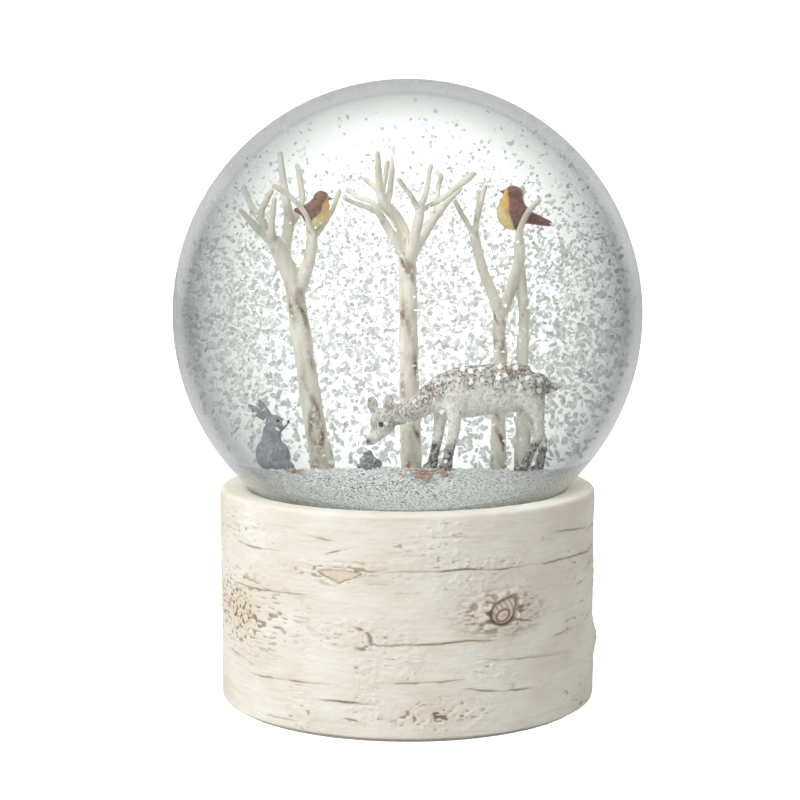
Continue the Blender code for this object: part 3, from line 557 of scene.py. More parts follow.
def snow_material(name, grit):
    """Fine glittering grains in resin; grit is how much black grit is mixed in. The bank's wall glows as
    painted light.
    """
    made, tree, shader = new_material(name, Roughness=0.55, Specular_IOR_Level=0.5)
    grain = noise(tree, 0.5, 2, 0.7)
    pale = ramp(tree, grain, (0.36, "969d9a"), (0.5, "dce2df"), (0.62, "fdfefd"))
    patches = noise(tree, 9.0, 2)
    specks = cells(tree, 0.62)
    wanted = ramp(tree, patches, (0.35, 0.0), (0.7, 1.0))
    dark = calc(tree, "LESS_THAN", specks, calc(tree, "MULTIPLY_ADD", wanted, 0.17 * grit, 0.09 * grit))
    colour = blend(tree, times(tree, dark, 0.85), pale, "3e4042")
    colour_in(tree, shader, colour)
    tree.links.new(colour, shader.inputs["Emission Color"])
    # Painted light: where the wall mask is set, the snow glows to lighten the wall, which lies in shade.
    tree.links.new(times(tree, mask(tree, "wall"), 0.42), shader.inputs["Emission Strength"])
    bump(tree, shader, grain, 0.6, 0.25)
    return made


def snow_bumps(points):
    """The lumps and grains of the snow's surface, in mm."""
    flat = points * (1, 1, 0)
    return 0.09 * space_noise(flat, 0.45, 21, 1) + 0.28 * space_noise(flat, 4.0, 25) - 0.3


def snow_mound(material):
    """The moulded ground, with lumps and grains on its top."""
    rings, steps = 150, 420
    top, faces = turned([(GROUND_RADIUS * i / rings, 0.0) for i in range(rings + 1)], steps)
    top = np.array(top, float)
    top[:, 2] = ground_z(top[:, 0], top[:, 1]) + snow_bumps(top)
    profile = [(GROUND_RADIUS, 0.0), (GROUND_RADIUS, GROUND_FOOT_Z), (0.0, GROUND_FOOT_Z)]
    wall, wall_faces = turned(profile, steps)
    wall = np.array(wall, float)
    wall[:steps] = top[-steps:]
    obj = make_object("snow_mound", *joined([(top, faces), (wall, wall_faces)]))
    welded(obj)
    return finish_piece(obj, "snow_resin", ["snow_ground"], material)


def snow_bank(material):
    """Loose flakes lying between the mound and the glass, level with the mound's edge."""
    glass, inner, foot = WATER_RADIUS - 0.25, GROUND_RADIUS + 0.05, 46.0
    steps, rows, wall_rows = 520, 70, 40
    turn = np.linspace(0, 2 * np.pi, steps, endpoint=False)
    way_x, way_y = np.cos(turn), np.sin(turn)

    def wall_radius(z):
        return np.sqrt(glass**2 - (z - GLOBE_Z) ** 2)

    top = np.full(steps, bank_low[2])
    for _ in range(60):
        radius = wall_radius(top)
        top = 0.5 * (top + np.maximum(ground_z(radius * way_x, radius * way_y) - 0.3, foot + 0.5))
    rings = [np.stack([way_x * inner, way_y * inner, np.full(steps, foot)], axis=1)]
    for part in np.linspace(0, 1, rows):
        radius = inner + (wall_radius(top) - inner) * part
        ring = np.stack([way_x * radius, way_y * radius, np.zeros(steps)], axis=1)
        ring[:, 2] = ground_z(ring[:, 0], ring[:, 1]) + snow_bumps(ring)
        if part == 1:
            ring[:, 2] = np.maximum(ring[:, 2], top)
        rings.append(ring)
    for part in np.linspace(0, 1, wall_rows)[1:]:
        z = top + (foot - top) * part
        radius = wall_radius(z)
        ring = np.stack([way_x * radius, way_y * radius, z], axis=1)
        grain = 0.08 * (space_noise(ring, 0.5, 31, 1) - 1)
        ring[:, :2] *= (1 + grain / radius)[:, None]
        rings.append(ring)
    points = np.vstack(rings)
    count = len(rings)
    corner = np.arange(steps)
    faces = []
    beyond = (corner + 1) % steps
    for row in range(count):
        here, there = row * steps, (row + 1) % count * steps
        faces.append(np.stack([here + corner, here + beyond, there + beyond, there + corner], axis=1))
    obj = make_object("snow_bank", points, np.vstack(faces))
    # The wall rows get a painted glow in the snow material, lightening their shade.
    set_mask(obj, "wall", np.repeat([0.0] * rows + [1.0] * (count - rows), steps))
    welded(obj)
    return finish_piece(obj, "loose_snow", ["settled_snow"], material)


def settled_flakes(material):
    """Flakes lying on the mound and the bank, thicker to the left."""
    chance = np.random.default_rng(41)
    radius = 40.0 * np.sqrt(chance.uniform(0, 1, GROUND_TRIES))
    turn = chance.uniform(0, 2 * math.pi, GROUND_TRIES)
    x, y = radius * np.cos(turn), radius * np.sin(turn)
    points = np.stack([x, y, ground_z(x, y)], axis=1)
    points[:, 2] += snow_bumps(points) + 0.1
    clear = np.hypot(radius, points[:, 2] - GLOBE_Z) < WATER_RADIUS - 0.8
    share = 0.25 + 0.5 * smooth_step(-x, 5, 22) + 0.35 * smooth_step(y, 0, 20)
    points = points[clear & (chance.uniform(0, 1, GROUND_TRIES) < share)]
    obj = flake_mesh("settled_flakes", points, chance.uniform(0.4, 0.9, len(points)), 42)
    return finish_piece(obj, "loose_snow", [], material)


def ground_grit():
    """Small black and grey chips pressed into the mound, thicker left of its middle."""
    made, tree, shader = new_material("grit", Roughness=0.5)
    colour_in(tree, shader, ramp(tree, chip_tone(tree, 0.7), (0.0, "3a3c40"), (1.0, "8e9296")))
    bump(tree, shader, noise(tree, 0.2, 1), 0.4, 0.05)
    chance = np.random.default_rng(51)
    x, y = chance.uniform(-30, 30, (2, GROUND_TRIES))
    points = np.stack([x, y, ground_z(x, y)], axis=1)
    points[:, 2] += snow_bumps(points) + 0.02
    middle = np.exp(-(((x + 5) / 11) ** 2))
    share = (0.1 + 0.6 * middle) * (0.05 + 0.95 * smooth_step(-y, 10, 17))
    share *= 1 - 0.5 * smooth_step(-y, 20, 30)
    clear = np.hypot(np.hypot(x, y), points[:, 2] - GLOBE_Z) < WATER_RADIUS - 0.9
    points = points[clear & (chance.uniform(0, 1, GROUND_TRIES) < share)]
    obj = flake_mesh("ground_grit", points, chance.uniform(0.16, 0.42, len(points)), 52, 0.16)
    return finish_piece(obj, "snow_resin", [], made)


# ---------------------------------------------------------------- trees

# Each tree is a list of limbs, each a route of (x, y, z, radius). The first is the stem.
LEFT_TREE = (
    [(-13.5, 2, 57.3, 1.9), (-13.7, 2, 60, 1.75), (-14.6, 2, 64.3, 1.65), (-15.4, 2, 69, 1.6),
     (-16.6, 2, 77, 1.5), (-17.8, 2, 84.8, 1.45), (-18.1, 2, 88, 1.45)],
    [(-18.0, 2, 87, 1.3), (-19.4, 1.4, 90.4, 1.3), (-20.6, 1, 92.8, 1.25), (-21.5, 1, 94.6, 1.05)],
    [(-21.2, 1, 94, 0.9), (-23.4, 0, 95.9, 0.7), (-26.4, -2, 98.9, 0.5), (-28.2, -3, 100.7, 0.32)],
    [(-21.4, 1, 94.4, 0.8), (-23.2, 2, 97.4, 0.62), (-25, 4, 99.9, 0.5), (-26.5, 5, 103.1, 0.36)],
    [(-23.2, 1, 96.8, 0.55), (-23.9, 0, 99.4, 0.55), (-23.3, -1.2, 101.6, 0.5), (-22.6, -2, 103.4, 0.42)],
    [(-21.5, 1, 94.4, 0.7), (-22.2, -1, 97.1, 0.55), (-22.1, -3, 102.2, 0.4)],
    [(-19.9, 1.2, 91.4, 0.95), (-19.6, 2, 93.8, 0.85), (-18.9, 3, 98, 0.75), (-19.5, 4, 101.2, 0.65),
     (-20.3, 6, 108.2, 0.4)],
    [(-19.0, 2.8, 96.4, 0.6), (-17.3, 4.6, 98.8, 0.52), (-16.6, 6, 101.2, 0.45), (-17.2, 8, 105.6, 0.34)],
    [(-18.0, 2, 85.6, 1.15), (-17, 1.6, 87.6, 1.05), (-15.8, 0, 92, 0.95), (-15.5, -1, 95.0, 0.92),
     (-15.8, -1, 97, 0.7)],
    [(-15.5, -0.6, 94.2, 0.62), (-14.8, 0, 95.8, 0.52), (-13.1, 1, 97.9, 0.46), (-11.9, 2, 99.7, 0.4),
     (-10.9, 3, 102.4, 0.32)],
    [(-15.8, -1.4, 96.6, 0.5), (-16.8, -3, 99.6, 0.4), (-19.8, -4, 103, 0.34), (-22.5, -4, 104.7, 0.28)],
)
CENTRE_TREE = (
    [(0.6, -1, 57.1, 1.7), (0.6, -1, 59, 1.55), (0.4, -1, 66, 1.5), (0.2, -1, 75.5, 1.42),
     (0.1, -1, 85.2, 1.36), (-0.1, -1, 92.4, 1.35)],
    [(-0.2, -1, 91.8, 1.1), (-1.2, -1.2, 94, 0.85), (-2.5, -2, 95.9, 0.75), (-3.8, -2, 98, 0.68),
     (-4.9, -3, 99.7, 0.55), (-6.8, -4, 100.8, 0.45), (-8.7, -5, 101.6, 0.38), (-10.5, -6, 102.6, 0.3)],
    [(-4.1, -2.2, 98.6, 0.55), (-5.0, -1.6, 100.4, 0.45), (-6.2, -1, 101.3, 0.42), (-8, 0, 101.8, 0.36),
     (-9.6, 1, 103, 0.28)],
    [(0, -0.8, 92, 1.15), (-0.4, 0.4, 95.4, 0.95), (-1.5, 1, 97.9, 0.85), (-3, 0.6, 99.7, 0.85),
     (-4.1, 0, 101.3, 0.8), (-4.5, 0, 103.2, 0.65)],
    [(-4.2, 0, 102.2, 0.6), (-5.2, 1.6, 103.2, 0.42), (-6.5, 3, 104.0, 0.34), (-7.0, 3.4, 104.4, 0.28)],
    [(-4.4, 0, 102.6, 0.62), (-4.7, -1, 104.8, 0.55), (-4.8, -2, 107.5, 0.46), (-5, -3, 109.9, 0.34)],
    [(-4.2, 0.2, 102.2, 0.5), (-3.8, 1.2, 103.8, 0.42), (-3.4, 2, 105.7, 0.38), (-3.3, 2, 107.3, 0.3)],
    [(-3.4, 0.6, 100.2, 0.55), (-2.8, 2.6, 102.4, 0.48), (-2.5, 4, 105.3, 0.42), (-2.6, 5, 107.0, 0.34)],
    [(0, -1.2, 91.8, 1.05), (0.7, -2, 93.6, 0.9), (1.3, -3, 96.4, 0.8), (1.9, -4, 99.2, 0.75),
     (2.1, -4, 101.2, 0.6)],
    [(1.9, -4, 100, 0.5), (0.8, -5, 102.4, 0.42), (-0.3, -6, 104.1, 0.38), (-1.6, -7, 105.9, 0.28)],
    [(2.1, -3.8, 100.6, 0.5), (2.9, -2.8, 102.6, 0.42), (3.3, -2, 104.4, 0.38), (3.8, -2, 107.4, 0.3)],
    [(2.0, -3.6, 100.0, 0.45), (3.4, -2, 100.6, 0.4), (5.6, -2, 101.8, 0.42), (7.8, -3, 103.8, 0.5),
     (10, -4, 105.7, 0.62), (11, -4, 106.5, 0.45)],
    [(0.1, -0.8, 91.6, 1.1), (1.2, 0, 93.6, 0.95), (2.6, 1, 95.8, 0.85), (3.9, 2, 97.6, 0.7),
     (5.2, 3, 99.2, 0.6), (6.6, 4, 100.7, 0.45), (8.1, 6, 102.0, 0.32)],
    [(4.6, 2.6, 98.6, 0.5), (4.7, 4.4, 101, 0.4), (4.9, 6, 102.8, 0.36), (5.3, 6.2, 104, 0.32),
     (4.7, 7, 104.6, 0.26)],
)
RIGHT_TREE = (
    [(14, 9, 57.0, 1.3), (14, 9, 59, 1.15), (14.1, 9, 68.9, 1.0), (14.5, 9, 75.4, 0.95),
     (14.2, 9, 79.1, 0.95), (14.5, 9, 82.4, 1.0)],
    [(14.4, 9, 81.8, 0.9), (13.3, 8.4, 85.4, 0.8), (11.8, 8, 89.2, 0.75), (10.7, 8, 93.4, 0.72),
     (10.4, 8, 94.8, 0.6)],
    [(10.5, 8, 94.2, 0.5), (9.3, 7, 96.8, 0.42), (8.3, 6.4, 98.6, 0.36), (7.5, 6, 100.2, 0.28)],
    [(10.5, 8, 94.2, 0.5), (10.8, 9, 97.4, 0.42), (11.1, 9.4, 99.4, 0.36), (11, 10, 101.1, 0.28)],
    [(10.8, 8.8, 96.8, 0.4), (11.5, 8, 99.6, 0.36), (12.1, 8, 102.2, 0.28)],
    [(14.5, 9, 82.0, 0.9), (15.9, 9, 85.3, 0.82), (16.8, 9, 88.3, 0.85), (17.4, 9, 90.4, 0.85),
     (17.4, 9, 93.2, 0.75)],
    [(17.3, 10.9, 57.0, 1.25), (17.5, 11, 62, 1.1), (17.8, 11, 69, 0.95), (17.7, 11, 75.9, 0.85),
     (18, 11, 81, 0.8), (17.8, 10, 85.2, 0.8), (17.5, 9.2, 89.4, 0.8)],
    [(17.4, 9, 92.6, 0.6), (17.5, 8.2, 95.2, 0.48), (18.7, 8.4, 98, 0.42), (20.4, 9, 99.9, 0.32)],
    [(17.3, 9.4, 92.4, 0.62), (17.2, 12, 95.6, 0.5), (17.2, 13.4, 98.5, 0.42), (17.3, 14, 101.0, 0.32)],
)


def birch_twig_material():
    made, tree, shader = new_material("tree_paint", Roughness=0.5, Specular_IOR_Level=0.4)
    streak = noise(tree, 1.6, 4, 0.6, stretch=(1, 1, 0.35))
    base = ramp(tree, streak, (0.3, "cec8b8"), (0.5, "e8e4d6"), (0.7, "f6f4ec"))
    stain = ramp(tree, noise(tree, 5.0, 3), (0.5, 0.0), (0.72, 0.3))
    colour = blend(tree, stain, base, "e2d4b0")
    slit = ramp(tree, noise(tree, 1.1, 3, 0.6, stretch=(1, 1, 0.25), seed=3.0), (0.65, 0.0), (0.7, 0.75))
    colour = blend(tree, slit, colour, "8e6c42")
    broken = ramp(tree, noise(tree, 0.6, 3, seed=5.0), (0.36, 0.0), (0.5, 1.6))
    scar = times(tree, mask(tree, "scar"), broken, clamp=True)
    colour = blend(tree, scar, colour, "704c24")
    colour_in(tree, shader, colour)
    bump(tree, shader, noise(tree, 0.5, 3, 0.6, stretch=(1, 1, 0.5)), 0.5, 0.2)
    return made


def birch(name, limbs, material, seed, node):
    """One tree, its limbs grown together, with brown scars at its forks."""
    thick = [[(x, y, z, max(1.1 * radius, 0.42)) for x, y, z, radius in limb] for limb in limbs]
    obj = fused(name, [tube(limb, 14, 1.0, 0.1, seed + i) for i, limb in enumerate(thick)], 0.17, 4)
    points = points_of(obj)
    push_out(obj, 0.09 * space_noise(points * (1, 1, 0.5), 1.0, seed, 2))
    chance = random.Random(seed)
    scar = np.zeros(len(points))
    spots = [(Vector(limb[0][:3]), limb[0][3]) for limb in limbs[1:]]
    stem = limbs[0]
    for low, high in zip(stem, stem[1:]):
        for _ in range(3):
            spots.append((Vector(low[:3]).lerp(Vector(high[:3]), chance.uniform(0.1, 0.9)), low[3]))
    for centre, radius in spots:
        side = Vector((chance.uniform(-1, 1), -1.0, 0)).normalized() * radius * 0.8
        away = points - np.array(centre + side)
        lean = chance.uniform(-0.6, 0.2)
        across = np.hypot(away[:, 0] - lean * away[:, 2], away[:, 1]) / (0.26 * radius + 0.08)
        along = away[:, 2] / (1.1 * radius + 0.4)
        scar = np.maximum(scar, chance.uniform(0.3, 1.0) * np.exp(-(across**2) - along**2))
    set_mask(obj, "scar", scar)
    return finish_piece(obj, "tree_bark", [node], material)


# ---------------------------------------------------------------- animals

def eye_material():
    made, tree, shader = new_material("eye", Roughness=0.12, Specular_IOR_Level=0.7)
    colour_in(tree, shader, ramp(tree, noise(tree, 0.3, 1), (0.3, "100c0a"), (0.8, "281e18")))
    return made


def eyes(name, places, radius, material, slot):
    """Glossy beads, as one piece."""
    obj = make_object(name, *joined([ball(place, (radius, radius * 0.8, radius)) for place in places]))
    return finish_piece(obj, slot, [], material)


def robin(name, breast, facing, size, lift, tail, node, eye):
    """A perched robin. facing is 1 or -1 along X, lift tips it back (degrees), tail stretches its tail."""
    bx, by, bz = breast
    rise, run = math.sin(math.radians(lift)), math.cos(math.radians(lift))

    def at(along, out, up):
        ahead, above = along * run - up * rise, along * rise + up * run
        return bx + facing * ahead * size, by + out * size, bz + above * size

    def shape(centre, half, tilt=0.0):
        return ball(at(*centre), tuple(h * size for h in half), (0, -facing * (tilt + lift), 0))

    def bar(route):
        return tube([(*at(a, o, u), r * size) for a, o, u, r in route], 12)

    shapes = [
        shape((0, 0, 0), (2.35, 2.0, 2.15), 35),
        shape((0.55, 0, 1.0), (1.8, 1.7, 1.75)),
        shape((1.0, -0.1, 2.35), (1.35, 1.3, 1.3)),
        bar([(2.0, -0.1, 2.3, 0.4), (2.55, -0.15, 2.2, 0.22), (2.9, -0.2, 2.1, 0.07)]),
        bar([(-1.3, 0, 0.3, 1.1), (-1.3 - 1.2 * tail, 0, 0.5, 0.75), (-1.3 - 2.4 * tail, 0, 0.75, 0.42)]),
    ]
    for side in (-1, 1):
        shapes.append(shape((-0.7, side * 1.5, 0.5), (1.9, 0.55, 1.15), 22))
        shapes.append(bar([(0.1, side * 0.5, -1.7, 0.22), (0.15, side * 0.6, -2.3, 0.18)]))
    obj = fused(name, shapes, 0.1, 5)
    points = points_of(obj)
    local = (points - np.array(breast)) / size
    ahead = local[:, 0] * facing
    along, up = ahead * run + local[:, 2] * rise, local[:, 2] * run - ahead * rise
    wobble = 0.25 * space_noise(points, 0.8, 61)
    front = smooth_step(along * 0.75 - up * 0.55 + wobble, -0.2, 0.25)
    front *= smooth_step(2.35 - up + 0.6 * along, 0, 0.5)
    wing = np.exp(-(((along + 0.8) / 1.5) ** 2) - ((up - 0.5) / 0.85) ** 2) * (np.abs(local[:, 1]) > 1.2)
    front *= smooth_step(2.35 - along, 0, 0.2)
    set_mask(obj, "front", np.clip(front - 1.4 * wing, 0, 1))
    set_mask(obj, "high", smooth_step(up + 0.2 * wobble, -0.6, 1.3))
    push_out(obj, 0.05 * space_noise(points * (1, 1, 2), 0.5, 63, 1))

    made, tree, shader = new_material(name + "_paint", Roughness=0.5)
    brown = ramp(tree, noise(tree, 0.6, 3), (0.3, "68463a"), (0.7, "9c7460"))
    orange = ramp(tree, noise(tree, 0.7, 2), (0.3, "e4a860"), (0.7, "f4c884"))
    belly = ramp(tree, noise(tree, 0.7, 2), (0.3, "e8d68c"), (0.7, "f6ecb8"))
    chest = blend(tree, mask(tree, "high"), belly, orange)
    colour_in(tree, shader, blend(tree, mask(tree, "front"), brown, chest))
    bump(tree, shader, noise(tree, 0.3, 2), 0.4, 0.08)
    finish_piece(obj, "robin_paint", [node], made)
    eyes(name + "_eyes", [at(1.35, side * 1.12, 2.6) for side in (-1, 1)], 0.26 * size, eye, "robin_paint")


FAWN_Y = -9.0


def fawn(eye):
    """A grazing fawn, facing -X, its head down and turned a little to the front."""
    y = FAWN_Y
    near, far = y - 2.1, y + 2.1

    def foot(x, leg_y):
        return ground_z(x, leg_y) + 0.35

    shapes = [
        tube([(21.9, y, 71.6, 2.2), (20.6, y, 71.3, 3.5), (17.5, y, 71.2, 4.15), (13, y, 70.9, 4.25),
              (9, y, 70.5, 4.35), (6.3, y, 70.2, 3.6)], 20, 0.72),
        tube([(7.5, y, 70.6, 3.7), (4.6, y, 69.8, 2.75), (2.4, y, 68.4, 2.05), (0.2, y - 0.1, 67.2, 1.8),
              (-2.2, y - 0.3, 66.7, 1.85)], 18, 0.8),
        ball((-4.0, y - 0.6, 65.9), (2.45, 1.9, 2.05), (0, -38, 0)),
        tube([(-3.8, y - 0.7, 65.2, 1.9), (-4.9, y - 0.9, 63.8, 1.45), (-5.8, y - 1.1, 62.7, 1.05),
              (-6.3, y - 1.2, 62.2, 0.8)], 14, 0.85),
        ball((-5.84, y + 0.7, 68.5), (0.95, 0.35, 1.5), (12, -12, 0)),
        ball((-3.3, y - 1.7, 68.9), (0.9, 0.38, 1.5), (-14, 14, 0)),
        ball((-4.9, y + 0.1, 67.3), (0.6, 0.5, 0.7)),
        ball((-3.6, y - 1.1, 67.4), (0.6, 0.5, 0.7)),
        tube([(22.6, y, 71.4, 1.3), (24.2, y, 71.1, 1.0), (25.8, y, 71.5, 0.45)], 12, 0.8),
        tube([(8.4, near + 0.5, 69.5, 2.4), (7.9, near, 66.3, 1.3), (7.85, near, 64.2, 1.03),
              (7.4, near, 62, 0.9), (6.9, near, 59.9, 0.85), (6.6, near, foot(6.6, near), 1.0)], 14, 0.9),
        tube([(6.2, far - 0.5, 68.5, 2.0), (5.4, far, 66, 1.15), (5.2, far, 64.1, 0.95),
              (4.8, far, 62, 0.85), (4.4, far, 60, 0.82), (4.1, far, foot(4.1, far), 0.95)], 14, 0.9),
        tube([(20.2, near + 0.7, 70.6, 3.2), (21.5, near + 0.2, 68.3, 2.1), (22.2, near, 66.4, 1.25),
              (22.4, near, 64.6, 0.95), (22.6, near, 62.9, 0.92), (21.9, near, 61.2, 0.8),
              (21.0, near, 59.4, 0.85), (20.1, near, foot(20.1, near), 1.0)], 16, 0.8),
        tube([(19.6, far - 0.7, 69, 2.7), (20.2, far - 0.2, 66.2, 1.4), (21.4, far, 64, 0.95),
              (22.6, far, 62.3, 0.88), (22.8, far, 60.2, 0.78),
              (22.4, far, foot(22.4, far), 0.95)], 14, 0.85),
        ball((6.1, near, foot(6.1, near) - 0.1), (1.15, 0.75, 0.6)),
        ball((3.6, far, foot(3.6, far) - 0.1), (1.1, 0.7, 0.6)),
        ball((19.5, near, foot(19.5, near) - 0.1), (1.25, 0.8, 0.65)),
        ball((21.9, far, foot(21.9, far) - 0.1), (1.15, 0.7, 0.6)),
    ]
    obj = fused("fawn_figure", shapes, 0.15, 5)
    points = points_of(obj)
    x, z = points[:, 0], points[:, 2]
    for ear_x, ear_y in ((-5.84, y + 0.7), (-3.3, y - 1.7)):
        hollow = np.exp(-(((x - ear_x) / 0.5) ** 2) - ((z - 68.7) / 0.85) ** 2)
        before = points[:, 1] - ear_y
        points[:, 1] += 0.3 * hollow * (before < 0.1) * (before > -0.8)
    points += normals_of(obj) * (0.09 * space_noise(points * (1, 1, 1.4), 0.55, 71, 2))[:, None]
    move_points(obj, points)
    line_x = [-6, -2, 1, 4, 7, 11, 19, 22, 26]
    back_line = np.interp(x, line_x, [68, 68.4, 69.6, 72.4, 74.2, 75, 75, 73, 71.6])
    wobble = 1.6 * space_noise(points, 1.5, 73)
    back = smooth_step(z - back_line + wobble, -5.4, -2.4)
    set_mask(obj, "back", back * (0.62 + 0.38 * smooth_step(x, -3, 4)))
    set_mask(obj, "leg", smooth_step(z + 0.8 * wobble, 62.4, 60.6))
    set_mask(obj, "flank", smooth_step(x, 6.5, 9.5) * smooth_step(z, 67.8, 69.6))
    set_mask(obj, "nose", np.exp(-((x + 6.7) ** 2 + (z - 62.2) ** 2) / 0.35))

    made, tree, shader = new_material("fawn_coat", Roughness=0.55)
    coat = ramp(tree, noise(tree, 0.7, 4, 0.65), (0.3, "ccc8be"), (0.5, "e8e6de"), (0.7, "f7f6f0"))
    shade = ramp(tree, noise(tree, 1.5, 2, seed=1.0), (0.4, 0.1), (0.62, 0.55))
    coat = blend(tree, times(tree, shade, mask(tree, "back")), coat, "96928e")
    warm = ramp(tree, noise(tree, 2.6, 2, seed=2.0), (0.48, 0.0), (0.66, 0.7))
    coat = blend(tree, times(tree, warm, mask(tree, "back")), coat, "b08c6e")
    fleck_noise = noise(tree, 0.5, 4, 0.75, stretch=(1.2, 1, 0.8), seed=4.0)
    flecks = times(tree, ramp(tree, fleck_noise, (0.48, 0.0), (0.55, 1.0)), mask(tree, "back"))
    coat = blend(tree, times(tree, flecks, 0.9), coat, "3e3a3c")
    thin = ramp(tree, noise(tree, 0.4, 3, 0.75, seed=9.0), (0.56, 0.0), (0.62, 0.7))
    coat = blend(tree, thin, coat, "68625e")
    where = add(tree, "ShaderNodeSeparateXYZ", {0: place_of(tree)})
    side_on = add(tree, "ShaderNodeCombineXYZ", {0: where.outputs["X"], 1: where.outputs["Z"]}).outputs[0]
    dots = {"Vector": side_on, "Scale": 0.5, "Randomness": 0.7}
    dots = add(tree, "ShaderNodeTexVoronoi", dots, voronoi_dimensions="2D")
    ragged = calc(tree, "ADD", dots.outputs["Distance"], times(tree, noise(tree, 0.5, 2), 0.5))
    spot = ramp(tree, ragged, (0.43, 1.0), (0.5, 0.0))
    spots = times(tree, times(tree, spot, mask(tree, "back")), mask(tree, "flank"))
    coat = blend(tree, spots, coat, "f0f0ec")
    leg_noise = ramp(tree, noise(tree, 0.6, 3, 0.7, seed=6.0), (0.4, 1.0), (0.6, 0.35))
    coat = blend(tree, times(tree, mask(tree, "leg"), leg_noise), coat, "282628")
    coat = blend(tree, mask(tree, "nose"), coat, "322c2a")
    colour_in(tree, shader, coat)
    bump(tree, shader, fleck_noise, 0.5, 0.15)
    finish_piece(obj, "fawn_paint", ["fawn"], made)
    eyes("fawn_eyes", [(-4.5, y - 2.35, 65.1), (-5.2, y + 1.1, 65.2)], 0.42, eye, "fawn_paint")


def rabbit(eye):
    """A rabbit sitting up, looking to +X, ears laid back. Its beads are two eyes and a nose."""
    y = -7.0
    low = ground_z(-23, y)
    shapes = [
        ball((-22.9, y, low + 2.6), (3.2, 2.7, 3.2)),
        ball((-22.4, y, low + 0.8), (3.3, 2.8, 1.5)),
        tube([(-22.8, y, low + 3.6, 2.4), (-23.0, y, low + 5.6, 1.75),
              (-22.7, y, low + 7.4, 1.6)], 16, 0.9),
        ball((-22.3, y - 0.1, low + 8.2), (1.95, 1.5, 1.55), (0, 15, 0)),
        ball((-20.9, y - 0.1, low + 8.3), (0.95, 0.95, 0.8)),
        tube([(-22.9, y - 0.7, low + 8.9, 0.5), (-24.0, y - 1.0, low + 10.3, 0.75),
              (-25.0, y - 1.2, low + 11.9, 0.5)], 12, 0.6),
        tube([(-23.0, y + 0.6, low + 8.7, 0.5), (-24.8, y + 0.8, low + 9.8, 0.75),
              (-26.5, y + 1.0, low + 11.0, 0.5)], 12, 0.6),
        ball((-20.8, y - 1.0, low + 0.9), (1.5, 0.8, 0.9)),
        ball((-20.8, y + 1.0, low + 0.9), (1.5, 0.8, 0.9)),
        ball((-24.0, y - 1.7, low + 1.6), (1.7, 1.1, 1.6)),
        ball((-24.0, y + 1.7, low + 1.6), (1.7, 1.1, 1.6)),
    ]
    obj = fused("rabbit_figure", shapes, 0.13, 5)
    points = points_of(obj)
    push_out(obj, 0.06 * space_noise(points, 0.6, 81))
    inner = np.exp(-(((points[:, 0] + 24.1) / 0.8) ** 2) - ((points[:, 2] - low - 10.6) / 1.0) ** 2)
    set_mask(obj, "ear", inner * smooth_step(-points[:, 1], 8.2, 8.6))

    made, tree, shader = new_material("rabbit_coat", Roughness=0.5)
    coat = ramp(tree, noise(tree, 0.9, 3), (0.3, "82848a"), (0.7, "b2b4b9"))
    fleck = ramp(tree, noise(tree, 0.5, 3, 0.6, stretch=(1.2, 1, 0.6), seed=2.0), (0.58, 0.0), (0.66, 0.9))
    coat = blend(tree, fleck, coat, "d6d8da")
    coat = blend(tree, mask(tree, "ear"), coat, "c4b6a4")
    colour_in(tree, shader, coat)
    bump(tree, shader, noise(tree, 0.4, 3), 0.5, 0.12)
    finish_piece(obj, "rabbit_paint", ["rabbit"], made)
    beads = [(-21.9, y - 1.45, low + 8.7), (-21.9, y + 1.3, low + 8.7), (-20.0, y - 0.3, low + 8.6)]
    eyes("rabbit_eyes", beads, 0.3, eye, "rabbit_paint")


def rock():
    """A small cracked stone in front of the centre tree."""
    low = ground_z(-6.4, -8.0)
    shapes = [
        ball((-6.4, -8, low + 0.9), (1.7, 1.4, 1.3), (10, 20, 0)),
        ball((-6.6, -8.1, low + 1.9), (0.9, 0.8, 1.1)),
        ball((-5.4, -8.2, low + 0.6), (1.1, 0.9, 0.9)),
        ball((-7.6, -8.4, low + 0.3), (0.9, 0.7, 0.5)),
    ]
    obj = fused("rock_figure", shapes, 0.12, 3)
    push_out(obj, 0.1 - 0.35 * np.abs(space_noise(points_of(obj), 1.0, 91, 2)))
    made, tree, shader = new_material("rock_paint", Roughness=0.7)
    grey = ramp(tree, noise(tree, 0.6, 4, 0.7), (0.35, "424448"), (0.5, "969898"), (0.65, "ced0ce"))
    colour_in(tree, shader, grey)
    bump(tree, shader, noise(tree, 0.3, 3, 0.7), 0.6, 0.15)
    finish_piece(obj, "rock_paint", ["snowy_rock"], made)


# Patches of leaves: middle x and y, spread in x and y, number of leaves
LEAF_PATCHES = ((3.2, -14.6, 4.6, 2.6, 34), (-19.6, -13.0, 1.8, 1.2, 9))


def leaf_faces(rows, columns):
    """A closed sheet of two skins of points: the upper first, row by row, then the lower."""
    lower = rows * columns
    faces = []
    for a in (i * columns + j for i in range(rows - 1) for j in range(columns - 1)):
        sheet = (a, a + columns, a + columns + 1, a + 1)
        faces += [sheet, tuple(lower + b for b in reversed(sheet))]
    rim = [i * columns for i in range(rows)] + list(range((rows - 1) * columns + 1, lower))
    rim += [i * columns - 1 for i in range(rows - 1, 0, -1)] + list(range(columns - 2, 0, -1))
    return faces + [(a, a + lower, b + lower, b) for a, b in zip(rim, rim[1:] + rim[:1])]


